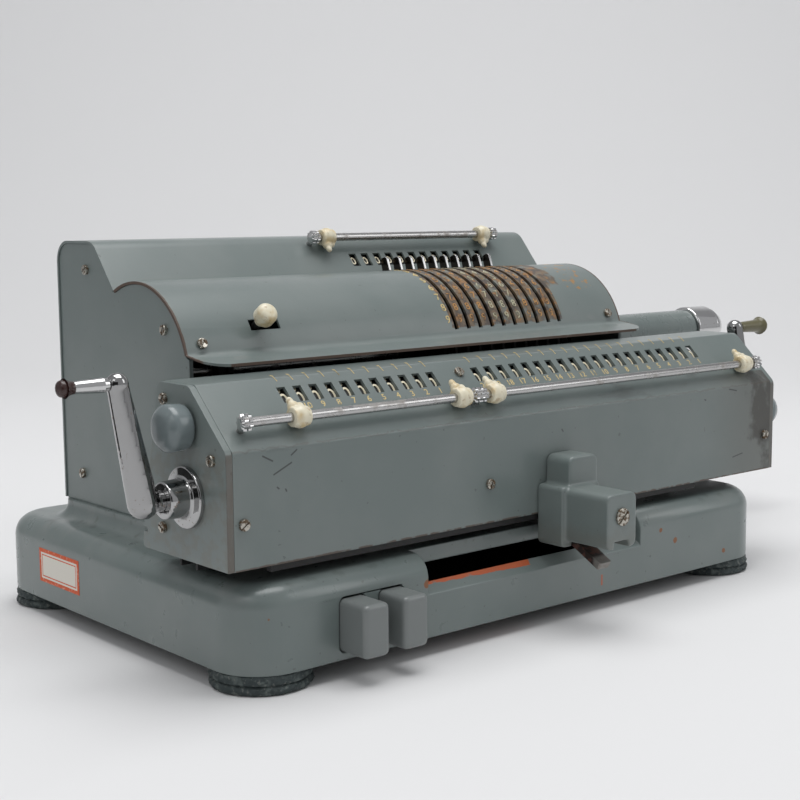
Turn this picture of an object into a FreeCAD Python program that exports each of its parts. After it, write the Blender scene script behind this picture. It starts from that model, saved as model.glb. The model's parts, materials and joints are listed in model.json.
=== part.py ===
import FreeCAD, Part
import math
import os
import re
from FreeCAD import Placement, Rotation, Vector

# Pinwheel calculator: a cast base carries two side plates, a slotted drum cover and a
# rear hump with check dials. A carriage with two dial registers slides along the front.
# X runs along the machine, the front is at -Y, and the feet stand on Z = 0.

doc = FreeCAD.newDocument("pinwheel_calculator")
sheet = doc.addObject("Spreadsheet::Sheet", "dims")

# Driving dimensions in millimetres, degrees or counts
SIZES = [
    ("body_span", 272), ("shoulder", 22), ("crank_shoulder", 33.5), ("back_shoulder", 28.3),
    ("base_depth", 212), ("front_setback", 100), ("base_corner", 22),
    ("base_top", 44), ("base_wall", 6), ("cavity_top", 37), ("bottom_sheet", 2),
    ("foot_height", 8), ("foot_radius", 21.5), ("foot_inset", 21), ("foot_groove", 0.8),
    ("pedestal_top", 52), ("pedestal_corner", 10),
    ("scoop_left", -65), ("scoop_right", 71), ("scoop_lip", 27), ("scoop_back", 36),
    ("scoop_reach", 13), ("well_setback", 16), ("well_depth", 14), ("well_inset", 6),
    ("plate", 2), ("plate_setback", 64.5), ("drum_setback", 106), ("drum_z", 116),
    ("cover_sheet", 1.2), ("cover_overhang", 0.6), ("rod_z", 66), ("rod_inset", 18),
    ("cover_radius", 42), ("front_angle", 73), ("valley_angle", 27),
    ("flange_reach", 19.8), ("flange_drop", 2.8), ("flange_corner", 12),
    ("hump_top", 175), ("hump_slope_run", 17.9), ("hump_corner", 10), ("seam", 0.3),
    ("fit", 0.06), ("seat", 0.05), ("air_gap", 0.3),
    ("pitch", 8), ("lever_count", 10), ("slot_width", 2.6), ("slot_back", 25),
    ("slot_front", 70), ("slot_margin", 3), ("lever_rest", 18), ("lever_sheet", 1.6), ("lever_tip", 56),
    ("lever_width", 5.6), ("lever_ring", 6), ("pinwheel_radius", 33), ("pinwheel_width", 5),
    ("pin_count", 9), ("pin_width", 1.8), ("pin_height", 4), ("shaft_radius", 6),
    ("check_count", 12), ("check_radius", 7.2), ("check_width", 5.4),
    ("check_window", 8), ("check_opening", 4.6), ("check_shift", 6), ("check_shaft_radius", 2.5),
    ("check_up", 12.4), ("rear_rod_up", 23.2), ("rear_rod_lift", 5.3),
    ("rod_radius", 4), ("front_plate_top", 88),
    ("carriage_left", -161.5), ("carriage_length", 345.5), ("carriage_setback", 6),
    ("carriage_floor", 51), ("bend_rise", 46.2), ("slope_run", 25.2), ("slope_rise", 23.9),
    ("top_depth", 48.4), ("floor_depth", 63), ("end_sheet", 3), ("carriage_sheet", 1.5),
    ("bend_radius", 2), ("home_shift", 48), ("window_low", 21.3), ("window_high", 29.5),
    ("window_width", 4.2), ("counter_first", -120.5), ("counter_count", 11),
    ("result_first", -13.8), ("result_count", 20), ("dial_radius", 11.5),
    ("dial_width", 5.6), ("dial_gap", 0.5), ("dial_shaft", 3), ("bearing_x", -27),
    ("marker_rod", 2), ("marker_step", 10), ("marker_lift", 5), ("pointer_radius", 4.5),
    ("pointer_width", 8), ("pointer_beak", 9.5), ("clear_axis_z", 76.9), ("pinion_teeth", 12),
    ("drive_teeth", 24), ("gear_width", 4), ("gear_backlash", 0.5), ("clear_shaft", 4), ("clear_arm", 47),
    ("clear_arm_big", 6.2), ("clear_arm_small", 4.2), ("clear_ball", 4.4),
    ("clear_flange", 12.5), ("clear_handle", 21), ("knob_radius", 9.8), ("knob_length", 15),
    ("cap_radius", 11), ("cap_length", 12.5), ("cap_gap", 22),
    ("rail_width", 10), ("rail_setback", 33), ("guide_lip", 1.2), ("strip_left", 20), ("strip_right", 64),
    ("tube_radius", 11), ("tube_end", 240), ("hub_radius", 12.6), ("hub_length", 18),
    ("crank_throw", 55), ("crank_ball", 6.5), ("crank_arm_big", 6.2), ("crank_arm_small", 4.6),
    ("crank_pin", 3), ("grip_length", 42), ("grip_radius", 8.5),
    ("key_width", 13), ("key_height", 22), ("key_low", 11.5), ("key_proud", 16),
    ("key_length", 34), ("key_left", -112.5), ("key_step", 20.5), ("key_round", 2.5),
    ("handle_left", 6), ("handle_right", 30), ("handle_low", 37.5), ("handle_step", 65),
    ("handle_top", 78), ("handle_depth", 15.5), ("block_left", 8), ("block_right", 27),
    ("block_reach", 25), ("block_low", 40), ("block_top", 64.5),
    ("change_inset", 39), ("change_travel", 8), ("change_angle", 57), ("change_stem", 1.9),
    ("change_reach", 49.5), ("change_knob", 5.6), ("collar_radius", 10.5), ("collar_length", 9),
    ("screw_head", 3.2), ("screw_height", 1.5), ("big_screw", 5.4),
    ("lever_pivot_back", 12.2), ("lever_pivot_z", 40.7), ("lever_tip_back", 30.8),
    ("lever_tip_z", 30.5), ("lever_bar", 3.4), ("lever_bar_width", 7.5),
]
ALIASES = []


def fill(rows):
    """Give each named number its own row of the sheet."""
    for name, number in rows:
        ALIASES.append(name)
        row = len(ALIASES)
        sheet.set(f"A{row}", name)
        sheet.set(f"B{row}", str(number))
        sheet.setAlias(f"B{row}", name)
    doc.recompute()


class Dimensions:
    def __getattr__(self, name):
        return float(sheet.get(name))


fill(SIZES)
d = Dimensions()
PARTS = {}

# Dimensions that follow from the driving ones
fill([
    ("base_left", -d.body_span / 2 - d.shoulder),
    ("base_right", d.body_span / 2 + d.crank_shoulder),
    ("base_front", -d.front_setback),
    ("base_back", d.base_depth - d.front_setback),
    ("body_back", d.base_depth - d.front_setback - d.back_shoulder),
    ("pedestal_margin", 0.1 * d.shoulder),
    ("base_edge", 0.45 * d.shoulder),
    ("cove", 0.3 * d.shoulder),
    ("carriage_front", d.carriage_setback - d.front_setback),
])
fill([
    ("drum_y", d.carriage_front + d.drum_setback),
    ("plate_front", d.carriage_front + d.plate_setback),
    ("well_front", d.carriage_front + d.well_setback),
    ("top_back", d.carriage_front + d.top_depth),
    ("floor_back", d.carriage_front + d.floor_depth),
    ("rail_y", d.carriage_front + d.rail_setback),
    ("change_x", d.change_inset - d.body_span / 2),
])


def formula(text):
    """Point the sheet's aliases in an expression at the spreadsheet."""
    return re.sub(r"[a-z][a-z_]*[a-z]", lambda m: "dims." + m[0] if m[0] in ALIASES else m[0], str(text))


def bind(thing, **expressions):
    for name, text in expressions.items():
        thing.setExpression(name, formula(text))


def put(thing, x="0", y="0", z="0", turn=None):
    if turn is not None:
        thing.Placement = Placement(Vector(), turn)
    for axis, text in zip("xyz", (x, y, z)):
        thing.setExpression(f"Placement.Base.{axis}", formula(text))
    return thing


def keep(label, thing):
    thing.Label = label
    PARTS[label] = thing
    return thing


def group(label, members):
    compound = doc.addObject("Part::Compound", label + "_group")
    compound.Links = members
    return keep(label, compound)


# Outlines

def line(a, b):
    return Part.LineSegment(Vector(a[0], a[1], 0), Vector(b[0], b[1], 0))


def arc(a, middle, b):
    return Part.Arc(*(Vector(p[0], p[1], 0) for p in (a, middle, b)))


def ring(u, v, radius):
    return [Part.Circle(Vector(u, v, 0), Vector(0, 0, 1), radius)]


def corner(before, here, after, radius):
    """Start, middle and end of the arc that rounds one corner."""
    to_before = (Vector(before[0], before[1], 0) - Vector(here[0], here[1], 0)).normalize()
    to_after = (Vector(after[0], after[1], 0) - Vector(here[0], here[1], 0)).normalize()
    half = to_before.getAngle(to_after) / 2
    point = Vector(here[0], here[1], 0)
    bisector = (to_before + to_after).normalize()
    centre = point + bisector * (radius / math.sin(half))
    reach = radius / math.tan(half)
    return point + to_before * reach, centre - bisector * radius, point + to_after * reach


def outline(corners):
    """Closed outline through (u, v, radius) corners, each rounded by its radius."""
    count = len(corners)
    rounded = []
    for i, here in enumerate(corners):
        if len(here) > 2 and here[2] > 0:
            rounded.append(corner(corners[i - 1], here, corners[(i + 1) % count], here[2]))
        else:
            rounded.append((Vector(here[0], here[1], 0),) * 3)
    edges = []
    for i, (start, middle, end) in enumerate(rounded):
        if (end - start).Length > 1e-6:
            edges.append(arc(start, middle, end))
        edges.append(line(end, rounded[(i + 1) % count][0]))
    return edges


def rectangle(left, low, right, high, radius=0):
    return outline([(left, low, radius), (right, low, radius), (right, high, radius), (left, high, radius)])


def sheet_outline(path, thickness):
    """Bent sheet: the path is its outer side, and the inner side lies to its right."""
    normals = []
    for a, b in zip(path, path[1:]):
        along = Vector(b[0] - a[0], b[1] - a[1], 0).normalize()
        normals.append(Vector(along.y, -along.x, 0))
    inner = []
    for i, here in enumerate(path):
        first = normals[max(i - 1, 0)]
        second = normals[min(i, len(normals) - 1)]
        middle = (first + second).normalize()
        shift = middle * (thickness / middle.dot(first))
        radius = here[2] - thickness if len(here) > 2 and here[2] > thickness else 0
        inner.append((here[0] + shift.x, here[1] + shift.y, radius))
    return outline(list(path) + inner[::-1])


# Features of a body

def new_body(label):
    return keep(label, doc.addObject("PartDesign::Body", label))


def origin(body, role):
    return next(f for f in body.Origin.OriginFeatures if f.Role == role)


def draw(body, name, role, edges, offset):
    sketch = body.newObject("Sketcher::SketchObject", name + "_sketch")
    sketch.AttachmentSupport = (origin(body, role), [""])
    sketch.MapMode = "FlatFace"
    bind(sketch, **{"AttachmentOffset.Base.z": offset})
    for edge in edges:
        sketch.addGeometry(edge, False)
    return sketch


def pad(body, name, role, edges, length, offset="0", both_ways=False):
    feature = body.newObject("PartDesign::Pad", name)
    feature.Profile = draw(body, name, role, edges, offset)
    if both_ways:
        feature.SideType = "Symmetric"
    bind(feature, Length=length)
    return feature


def pocket(body, name, role, edges, length, offset="0"):
    """Cut half the length to each side of the sketch plane."""
    feature = body.newObject("PartDesign::Pocket", name)
    feature.Profile = draw(body, name, role, edges, offset)
    feature.SideType = "Symmetric"
    bind(feature, Length=length)
    return feature


def repeat(body, feature, name, role, spacing, count):
    pattern = body.newObject("PartDesign::LinearPattern", name)
    pattern.Originals = [feature]
    pattern.Direction = (origin(body, role), [""])
    bind(pattern, Length=f"({spacing}) * ({count} - 1)", Occurrences=count)
    body.Tip = pattern
    return pattern


def repeat_round(body, feature, name, role, count, angle="360"):
    pattern = body.newObject("PartDesign::PolarPattern", name)
    pattern.Originals = [feature]
    pattern.Axis = (origin(body, role), [""])
    bind(pattern, Angle=angle, Occurrences=count)
    body.Tip = pattern
    return pattern


def round_edges(body, name, radius, wanted):
    doc.recompute()
    base = body.Tip
    names = [f"Edge{i}" for i, edge in enumerate(base.Shape.Edges, start=1) if wanted(edge)]
    fillet = body.newObject("PartDesign::Fillet", name)
    fillet.Base = (base, names)
    bind(fillet, Radius=radius)
    return fillet


def turned(label, profile):
    """Solid turned about X from (x, radius) points, each with an optional rounding."""
    body = doc.addObject("PartDesign::Body", label)
    feature = body.newObject("PartDesign::Revolution", label + "_turn")
    feature.Profile = draw(body, label, "XY_Plane", outline(profile), "0")
    feature.ReferenceAxis = (origin(body, "X_Axis"), [""])
    feature.Angle = 360
    return body


# Part primitives

def rod(name, radius, length, x, y, z, turn=None):
    thing = doc.addObject("Part::Cylinder", name)
    bind(thing, Radius=radius, Height=length)
    return put(thing, x, y, z, turn or Rotation(Vector(0, 1, 0), 90))


def ball(name, radius, x, y, z):
    thing = doc.addObject("Part::Sphere", name)
    bind(thing, Radius=radius)
    return put(thing, x, y, z)


def taper(name, radius_low, radius_high, start, end):
    """Cone along the line from start to end."""
    thing = doc.addObject("Part::Cone", name)
    bind(thing, Radius1=radius_low, Radius2=radius_high)
    run = Vector(*end) - Vector(*start)
    thing.Height = run.Length
    thing.Placement = Placement(Vector(*start), Rotation(Vector(0, 0, 1), run))
    return thing


def fuse(name, *members):
    thing = doc.addObject("Part::MultiFuse", name)
    thing.Shapes = list(members)
    thing.Refine = True
    return thing


def screw(name, point, direction, slot_turn=0):
    """Slotted cheese head that stands on a surface at point and faces along direction."""
    head = turned(name, [(0, 0), (d.screw_height, 0), (d.screw_height, d.screw_head, 0.5), (0, d.screw_head)])
    slot = rectangle(-d.screw_head - 1, -0.4, d.screw_head + 1, 0.4)
    pocket(head, name + "_slot", "YZ_Plane", slot, "screw_height", "screw_height")
    spin = Rotation(Vector(1, 0, 0), slot_turn)
    head.Placement = Placement(Vector(*point), Rotation(Vector(1, 0, 0), Vector(*direction)) * spin)
    return head


# Points and directions that several pieces share

HALF = d.body_span / 2
LEVERS = range(int(d.lever_count))
LAST_LEVER = d.result_first + d.pitch * (d.result_count - 1) - d.home_shift
FIRST_LEVER = LAST_LEVER - d.pitch * (d.lever_count - 1)
LAST_CHECK = LAST_LEVER + d.check_shift
CARRIAGE_RIGHT = d.carriage_left + d.carriage_length
BEND = (d.carriage_front, d.carriage_floor + d.bend_rise)
CREST = (BEND[0] + d.slope_run, BEND[1] + d.slope_rise)
SLOPE_LENGTH = math.hypot(d.slope_run, d.slope_rise)
SLOPE = (d.slope_run / SLOPE_LENGTH, d.slope_rise / SLOPE_LENGTH)
SLOPE_OUT = (-SLOPE[1], SLOPE[0])


def on_slope(up, out=0.0):
    """Point (y, z) at a distance up the carriage's slope and out from its surface."""
    return (BEND[0] + SLOPE[0] * up + SLOPE_OUT[0] * out, BEND[1] + SLOPE[1] * up + SLOPE_OUT[1] * out)


def on_drum(angle, radius):
    """Point (y, z) about the drum's axis, the angle measured from the top to the front."""
    turn = math.radians(angle)
    return (d.drum_y - radius * math.sin(turn), d.drum_z + radius * math.cos(turn))


def slanted(middle, along, length, depth):
    """Rectangle in the YZ plane about a middle point, its length along a direction."""
    across = (-along[1], along[0])
    signs = ((-1, -1), (1, -1), (1, 1), (-1, 1))
    return outline([tuple(middle[k] + i * along[k] * length / 2 + j * across[k] * depth / 2 for k in (0, 1))
                    for i, j in signs])


VALLEY = on_drum(-d.valley_angle, d.cover_radius)
HUMP_START = (VALLEY[0] + d.seam, VALLEY[1])
HUMP_CREST = (HUMP_START[0] + d.hump_slope_run, d.hump_top)
HUMP_RISE = d.hump_top - HUMP_START[1]
HUMP_LENGTH = math.hypot(d.hump_slope_run, HUMP_RISE)
HUMP_ALONG = (d.hump_slope_run / HUMP_LENGTH, HUMP_RISE / HUMP_LENGTH)
HUMP_OUT = (-HUMP_ALONG[1], HUMP_ALONG[0])


def on_hump(up, out=0.0):
    return (HUMP_START[0] + HUMP_ALONG[0] * up + HUMP_OUT[0] * out,
            HUMP_START[1] + HUMP_ALONG[1] * up + HUMP_OUT[1] * out)


WINDOW_MIDDLE = (d.window_low + d.window_high) / 2
DIAL_AXIS = on_slope(WINDOW_MIDDLE, -(d.carriage_sheet + d.dial_gap + d.dial_radius))
CLEAR_AXIS = (DIAL_AXIS[0], d.clear_axis_z)
CHECK_AXIS = on_hump(d.check_up, -(d.cover_sheet + d.dial_gap + d.check_radius))
MARKER_AXIS = on_slope(d.marker_step, d.marker_lift)
REAR_MARKER_AXIS = on_hump(d.rear_rod_up, d.rear_rod_lift)
TOP_ROD = (HUMP_CREST[0] + 7.3, d.hump_top - 13.1)
BACK_ROD = (d.body_back - d.rod_inset, d.rod_z)


# Base: cast box with rounded edges, a cove up to the side plates, and a scooped front

def make_base():
    base = new_body("base_casting")
    plan = rectangle(d.base_left, d.base_front, d.base_right, d.base_back, d.base_corner)
    pad(base, "base_block", "XY_Plane", plan, "base_top - foot_height", "foot_height")
    side = HALF + d.pedestal_margin
    back = d.body_back + d.pedestal_margin
    step = rectangle(-side, d.plate_front, side, back, d.pedestal_corner)
    pad(base, "base_pedestal", "XY_Plane", step, "pedestal_top - base_top + 1", "base_top - 1")

    def at_top(edge):
        box = edge.BoundBox
        return abs(box.ZMin - d.base_top) < 1e-3 and abs(box.ZMax - d.base_top) < 1e-3

    def is_outer(edge):
        middle = edge.BoundBox.Center
        return abs(middle.x) > side + 3 or abs(middle.y) > back + 3

    round_edges(base, "base_cove", "cove", lambda e: at_top(e) and not is_outer(e))
    round_edges(base, "base_rim", "base_edge", lambda e: at_top(e) and is_outer(e))
    inset = d.base_wall
    cavity = rectangle(d.base_left + inset, d.base_front + inset, d.base_right - inset, d.base_back - inset,
                       d.base_corner - inset)
    pocket(base, "base_cavity", "XY_Plane", cavity, "2 * (cavity_top - foot_height)", "foot_height")
    front = d.base_front
    scoop = outline([(front - 1, d.scoop_lip - 0.7), (front + d.scoop_reach, d.scoop_back),
                     (front + d.scoop_reach, d.base_top + 1), (front - 1, d.base_top + 1)])
    pocket(base, "front_scoop", "YZ_Plane", scoop, "scoop_right - scoop_left", "(scoop_right + scoop_left) / 2")
    well = rectangle(d.scoop_left + d.well_inset, d.well_front, d.scoop_right - d.well_inset,
                     d.well_front + d.well_depth, 4)
    pocket(base, "front_well", "XY_Plane", well, "2 * (base_top - cavity_top + 1)", "base_top")
    gap = d.air_gap
    slot = rectangle(d.key_left - gap, d.key_low - gap, d.key_left + d.key_width + gap,
                     d.key_low + d.key_height + gap, d.key_round)
    key_slot = pocket(base, "key_slot", "XZ_Plane", slot, "2 * base_wall + 2", "front_setback")
    repeat(base, key_slot, "key_slots", "X_Axis", "key_step", "2")


def make_bottom_plate():
    plate = new_body("bottom_plate")
    inset = d.base_wall + d.air_gap
    plan = rectangle(d.base_left + inset, d.base_front + inset, d.base_right - inset, d.base_back - inset,
                     d.base_corner - inset)
    pad(plate, "bottom_sheet", "XY_Plane", plan, "bottom_sheet", "foot_height")


def make_feet():
    feet = []
    level = d.foot_height / 2
    groove = d.foot_groove
    profile = [(0, 0), (0, d.foot_radius - 1.5), (1.5, d.foot_radius, 0.8), (level - groove / 2, d.foot_radius),
               (level, d.foot_radius - groove), (level + groove / 2, d.foot_radius - 0.3),
               (d.foot_height, d.foot_radius - 0.5), (d.foot_height, 0)]
    columns = ("base_left + foot_inset", "base_right - foot_inset")
    rows = ("base_front + foot_inset", "base_back - foot_inset")
    for i, (x, y) in enumerate(((x, y) for y in rows for x in columns), start=1):
        foot = turned(f"foot_{i}", profile)
        put(foot, x, y, "0", Rotation(Vector(0, 1, 0), -90))
        feet.append(foot)
    group("feet", feet)


def make_rail():
    rail = new_body("carriage_rail")
    low = d.rail_y - d.rail_width / 2
    plan = rectangle(-HALF, low, HALF, low + d.rail_width, 2)
    pad(rail, "rail_bar", "XY_Plane", plan, "carriage_floor - air_gap - base_top", "base_top")
    notch = rectangle(FIRST_LEVER - 2, low - 1, FIRST_LEVER + 2, low + 2.5, 0)
    first = pocket(rail, "step_notch", "XY_Plane", notch, "4", "carriage_floor - air_gap")
    repeat(rail, first, "step_notches", "X_Axis", "pitch", "9")


# Body: side plates, drum cover with setting slots, rear hump with check windows

def body_profile():
    """Side plate outline, just inside the two covers."""
    inside = d.cover_radius - d.cover_sheet - d.seat
    start = on_drum(d.front_angle + 1, inside)
    top = on_drum(20, inside)
    end = on_drum(-d.valley_angle, inside)
    gap = d.cover_sheet + d.seat
    foot = d.pedestal_top
    front_top = (d.plate_front, start[1] - 1)
    edges = [line((d.plate_front, foot), front_top), line(front_top, start), arc(start, top, end)]
    slope_low = on_hump(2, -gap)
    back = d.body_back - gap
    crest = (HUMP_CREST[0] + 0.45 * gap, d.hump_top - gap)
    radius = d.hump_corner - gap
    first = corner(slope_low, crest, (back, crest[1]), radius)
    second = corner(crest, (back, crest[1]), (back, foot), radius)
    edges += [line(end, slope_low), line(slope_low, first[0]), arc(*first), line(first[2], second[0])]
    edges += [arc(*second), line(second[2], (back, foot)), line((back, foot), (d.plate_front, foot))]
    return edges


def make_side_plates():
    for label, offset in (("left_side_plate", "-body_span / 2"), ("right_side_plate", "body_span / 2 - plate")):
        plate = new_body(label)
        pad(plate, label + "_sheet", "YZ_Plane", body_profile(), "plate", offset)
        if label.startswith("right"):
            hole = ring(d.drum_y, d.drum_z, d.shaft_radius + 1)
            pocket(plate, "crank_hole", "YZ_Plane", hole, "4 * plate", "body_span / 2")


def drum_arcs(angles, radius):
    """Arcs about the drum's axis through the given angles."""
    return [arc(on_drum(a, radius), on_drum((a + b) / 2, radius), on_drum(b, radius))
            for a, b in zip(angles, angles[1:])]


def make_drum_cover():
    """Half-round sheet. Its arc is drawn in steps, so that each bar between slots is a plain face."""
    cover = new_body("drum_cover")
    steps = 5
    run = d.slot_front + d.slot_back - 2 * d.slot_margin
    angles = [d.front_angle, *(d.slot_front - d.slot_margin - run * i / steps for i in range(steps + 1)),
              -d.valley_angle]
    inner_radius = d.cover_radius - d.cover_sheet
    front, front_inside = (on_drum(d.front_angle, radius) for radius in (d.cover_radius, inner_radius))
    tip = (front[0] - d.flange_reach, front[1] - d.flange_drop)
    under = (tip[0], tip[1] - d.cover_sheet)
    edges = [line(tip, front), *drum_arcs(angles, d.cover_radius),
             line(on_drum(-d.valley_angle, d.cover_radius), on_drum(-d.valley_angle, inner_radius)),
             *drum_arcs(angles[::-1], inner_radius), line(front_inside, under), line(under, tip)]
    length = "body_span + 2 * cover_overhang"
    pad(cover, "cover_sheet_metal", "YZ_Plane", edges, length, "0", both_ways=True)

    radius = d.flange_corner
    for side in (-1, 1):
        x = side * (HALF + d.cover_overhang)
        centre = (x - side * radius, tip[0] + radius)
        start = (x - side * radius, tip[0])
        middle = (centre[0] + side * radius * math.sqrt(0.5), centre[1] - radius * math.sqrt(0.5))
        end = (x, centre[1])
        off = (x + side, tip[0] - 1)
        waste = [arc(start, middle, end), line(end, (off[0], end[1])), line((off[0], end[1]), off),
                 line(off, (start[0], off[1])), line((start[0], off[1]), start)]
        pocket(cover, f"flange_corner_{side + 2}", "XY_Plane", waste, "8 * cover_sheet", str(tip[1]))
    deep = d.cover_radius - 4
    high = d.cover_radius + 4
    angles = (d.slot_front, (d.slot_front - d.slot_back) / 2, -d.slot_back)
    far = [on_drum(a, high) for a in angles]
    near = [on_drum(a, deep) for a in reversed(angles)]
    sector = [arc(*far), line(far[2], near[0]), arc(*near), line(near[2], far[0])]
    first = pocket(cover, "setting_slot", "YZ_Plane", sector, "slot_width", str(FIRST_LEVER))
    repeat(cover, first, "setting_slots", "X_Axis", "pitch", "lever_count")
    middle = on_drum(d.change_angle, d.cover_radius)
    turn = math.radians(d.change_angle)
    slot = slanted(middle, (math.cos(turn), math.sin(turn)), 2 * d.change_stem + 1.6, 6)
    pocket(cover, "change_slot", "YZ_Plane", slot, "change_travel + 2 * change_stem + 4",
           "change_x + change_travel / 2")
    for feature in cover.Group:
        if hasattr(feature, "Refine"):
            feature.Refine = False


def make_rear_cover():
    cover = new_body("rear_cover")
    path = [HUMP_START, (*HUMP_CREST, d.hump_corner), (d.body_back, d.hump_top, d.hump_corner),
            (d.body_back, d.pedestal_top + d.air_gap)]
    pad(cover, "hump_sheet", "YZ_Plane", sheet_outline(path, d.cover_sheet),
        "body_span + 2 * cover_overhang", "0", both_ways=True)
    window = slanted(on_hump(d.check_up), HUMP_ALONG, d.check_window, 6)
    first_x = LAST_CHECK - d.pitch * (d.check_count - 1)
    first = pocket(cover, "check_window", "YZ_Plane", window, "check_opening", str(first_x))
    repeat(cover, first, "check_windows", "X_Axis", "pitch", "check_count")


def make_check_wheels():
    profile = [(0, d.check_shaft_radius + d.fit), (0, d.check_radius - 1), (0.8, d.check_radius - 1),
               (0.8, d.check_radius), (d.check_width, d.check_radius),
               (d.check_width, d.check_shaft_radius + d.fit)]
    wheels = []
    for i in range(int(d.check_count)):
        wheel = turned(f"check_wheel_{i + 1}", profile)
        place = LAST_CHECK - d.pitch * i - d.check_width / 2
        put(wheel, str(place), str(CHECK_AXIS[0]), str(CHECK_AXIS[1]))
        wheels.append(wheel)
    group("check_wheels", wheels)


def make_frame_rods():
    spots = [(*TOP_ROD, "rod_radius - 0.5"), (*BACK_ROD, "rod_radius"),
             (d.plate_front + d.rod_inset, d.rod_z, "rod_radius"), (*CHECK_AXIS, "check_shaft_radius")]
    rods = [rod(f"cross_rod_{i}", radius, "body_span - 2 * plate", "plate - body_span / 2", str(y), str(z))
            for i, (y, z, radius) in enumerate(spots, start=1)]
    group("frame_rods", rods)


def make_front_plate():
    plate = new_body("front_plate")
    face = rectangle(-HALF + d.plate, d.pedestal_top, HALF - d.plate, d.front_plate_top, 0)
    pad(plate, "front_wall", "XZ_Plane", face, "cover_sheet", "-(plate_front + 2 * cover_sheet)")
    gap = rectangle(FIRST_LEVER - 4, d.front_plate_top - 14, LAST_LEVER + 4, d.front_plate_top + 1, 0)
    pocket(plate, "gear_gap", "XZ_Plane", gap, "6 * cover_sheet", "-plate_front")


# Crank, shaft and pinwheels on the drum's axis

def make_crank():
    wall = d.shaft_radius + d.fit
    left = -HALF + d.plate
    bearing = turned("drum_bearing", [(0, wall), (0, 12), (3, 12, 0.5), (3, 9), (10, 9, 0.5), (10, wall)])
    keep("drum_bearing", put(bearing, str(left), "drum_y", "drum_z"))
    tube = turned("crank_tube", [(0, wall), (0, 17), (2.5, 17, 0.8), (2.5, d.tube_radius),
                                 (d.tube_end - HALF, d.tube_radius, 0.6), (d.tube_end - HALF, wall)])
    keep("crank_tube", put(tube, "body_span / 2", "drum_y", "drum_z"))
    shaft = rod("drum_shaft_bar", "shaft_radius", str(d.tube_end + d.hub_length - left - d.air_gap), str(left + d.air_gap),
                "drum_y", "drum_z")
    keep("drum_shaft", shaft)
    hub = turned("crank_hub", [(0, d.shaft_radius + d.seat), (0, d.hub_radius, 1.2),
                               (d.hub_length, d.hub_radius, 0.6), (d.hub_length, d.shaft_radius + d.seat)])
    keep("crank_hub", put(hub, f"tube_end + {d.air_gap}", "drum_y", "drum_z"))
    x = d.tube_end + d.hub_length + d.air_gap
    dome = turned("crank_dome", [(0, 0), (0, d.hub_radius - 1), (3, d.hub_radius - 1, 0.6),
                                 (9, d.hub_radius - 4, 4), (10.5, 0)])
    put(dome, str(x), "drum_y", "drum_z")
    arm_x = x + d.crank_arm_big + d.seat
    low = d.drum_z - d.crank_throw
    arm = taper("crank_arm_bar", "crank_arm_big", "crank_arm_small", (arm_x, d.drum_y, d.drum_z),
                (arm_x, d.drum_y, low))
    end = ball("crank_arm_end", "crank_ball", str(arm_x), "drum_y", "drum_z - crank_throw")
    pin = rod("crank_pin_bar", "crank_pin", "grip_length + 8", str(arm_x), "drum_y", "drum_z - crank_throw")
    keep("crank_arm", fuse("crank_arm_body", dome, arm, end, pin))
    bore = d.crank_pin + d.fit
    start = d.crank_ball + 1
    grip = turned("crank_grip", [(0, bore), (0, 5.5, 1), (8, 6.2, 6), (0.6 * d.grip_length, d.grip_radius, 14),
                                 (d.grip_length - 4, d.grip_radius - 1, 5), (d.grip_length - 1.5, bore)])
    keep("crank_grip", put(grip, str(arm_x + start), "drum_y", "drum_z - crank_throw"))


def make_pinwheels():
    """Discs with a row of radial pin slots, the pins drawn in level with the rim."""
    discs = []
    for i in LEVERS:
        disc = doc.addObject("PartDesign::Body", f"pinwheel_{i + 1}")
        rim = ring(0, 0, d.pinwheel_radius)
        bore = ring(0, 0, d.shaft_radius + d.seat)
        pad(disc, f"pinwheel_{i + 1}_disc", "YZ_Plane", rim + bore, "pinwheel_width")
        radius = d.pinwheel_radius - d.pin_height / 2 + 0.5
        pin = rectangle(radius - d.pin_height / 2, -d.pin_width / 2, radius + d.pin_height, d.pin_width / 2)
        slot = pocket(disc, f"pinwheel_{i + 1}_pin", "YZ_Plane", pin, "pin_width", "pinwheel_width - pin_width")
        repeat_round(disc, slot, f"pinwheel_{i + 1}_pins", "X_Axis", "pin_count", "12 * (pin_count - 1)")
        put(disc, str(FIRST_LEVER + d.pitch * i - d.pinwheel_width / 2), "drum_y", "drum_z")
        discs.append(disc)
    group("pinwheel_drum", discs)


def make_setting_levers():
    """Ring that rides on its pinwheel, with a chrome tab that stands out of the cover."""
    inner = d.pinwheel_radius + d.air_gap
    outer = inner + d.lever_ring
    half = d.lever_width / 2
    for i in LEVERS:
        lever = new_body(f"setting_lever_{i + 1}")
        pad(lever, f"lever_ring_{i + 1}", "YZ_Plane", ring(0, 0, outer) + ring(0, 0, inner), "lever_sheet", "0", True)
        tab = outline([(-half - 1, outer - 2), (half + 1, outer - 2), (half, outer + 4, 3), (half, d.lever_tip, 2.6),
                       (-half, d.lever_tip, 2.6), (-half, outer + 4, 3)])
        pad(lever, f"lever_tab_{i + 1}", "YZ_Plane", tab, "lever_sheet", "0", True)
        put(lever, str(FIRST_LEVER + d.pitch * i), "drum_y", "drum_z",
            Rotation(Vector(1, 0, 0), -d.lever_rest))


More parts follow.
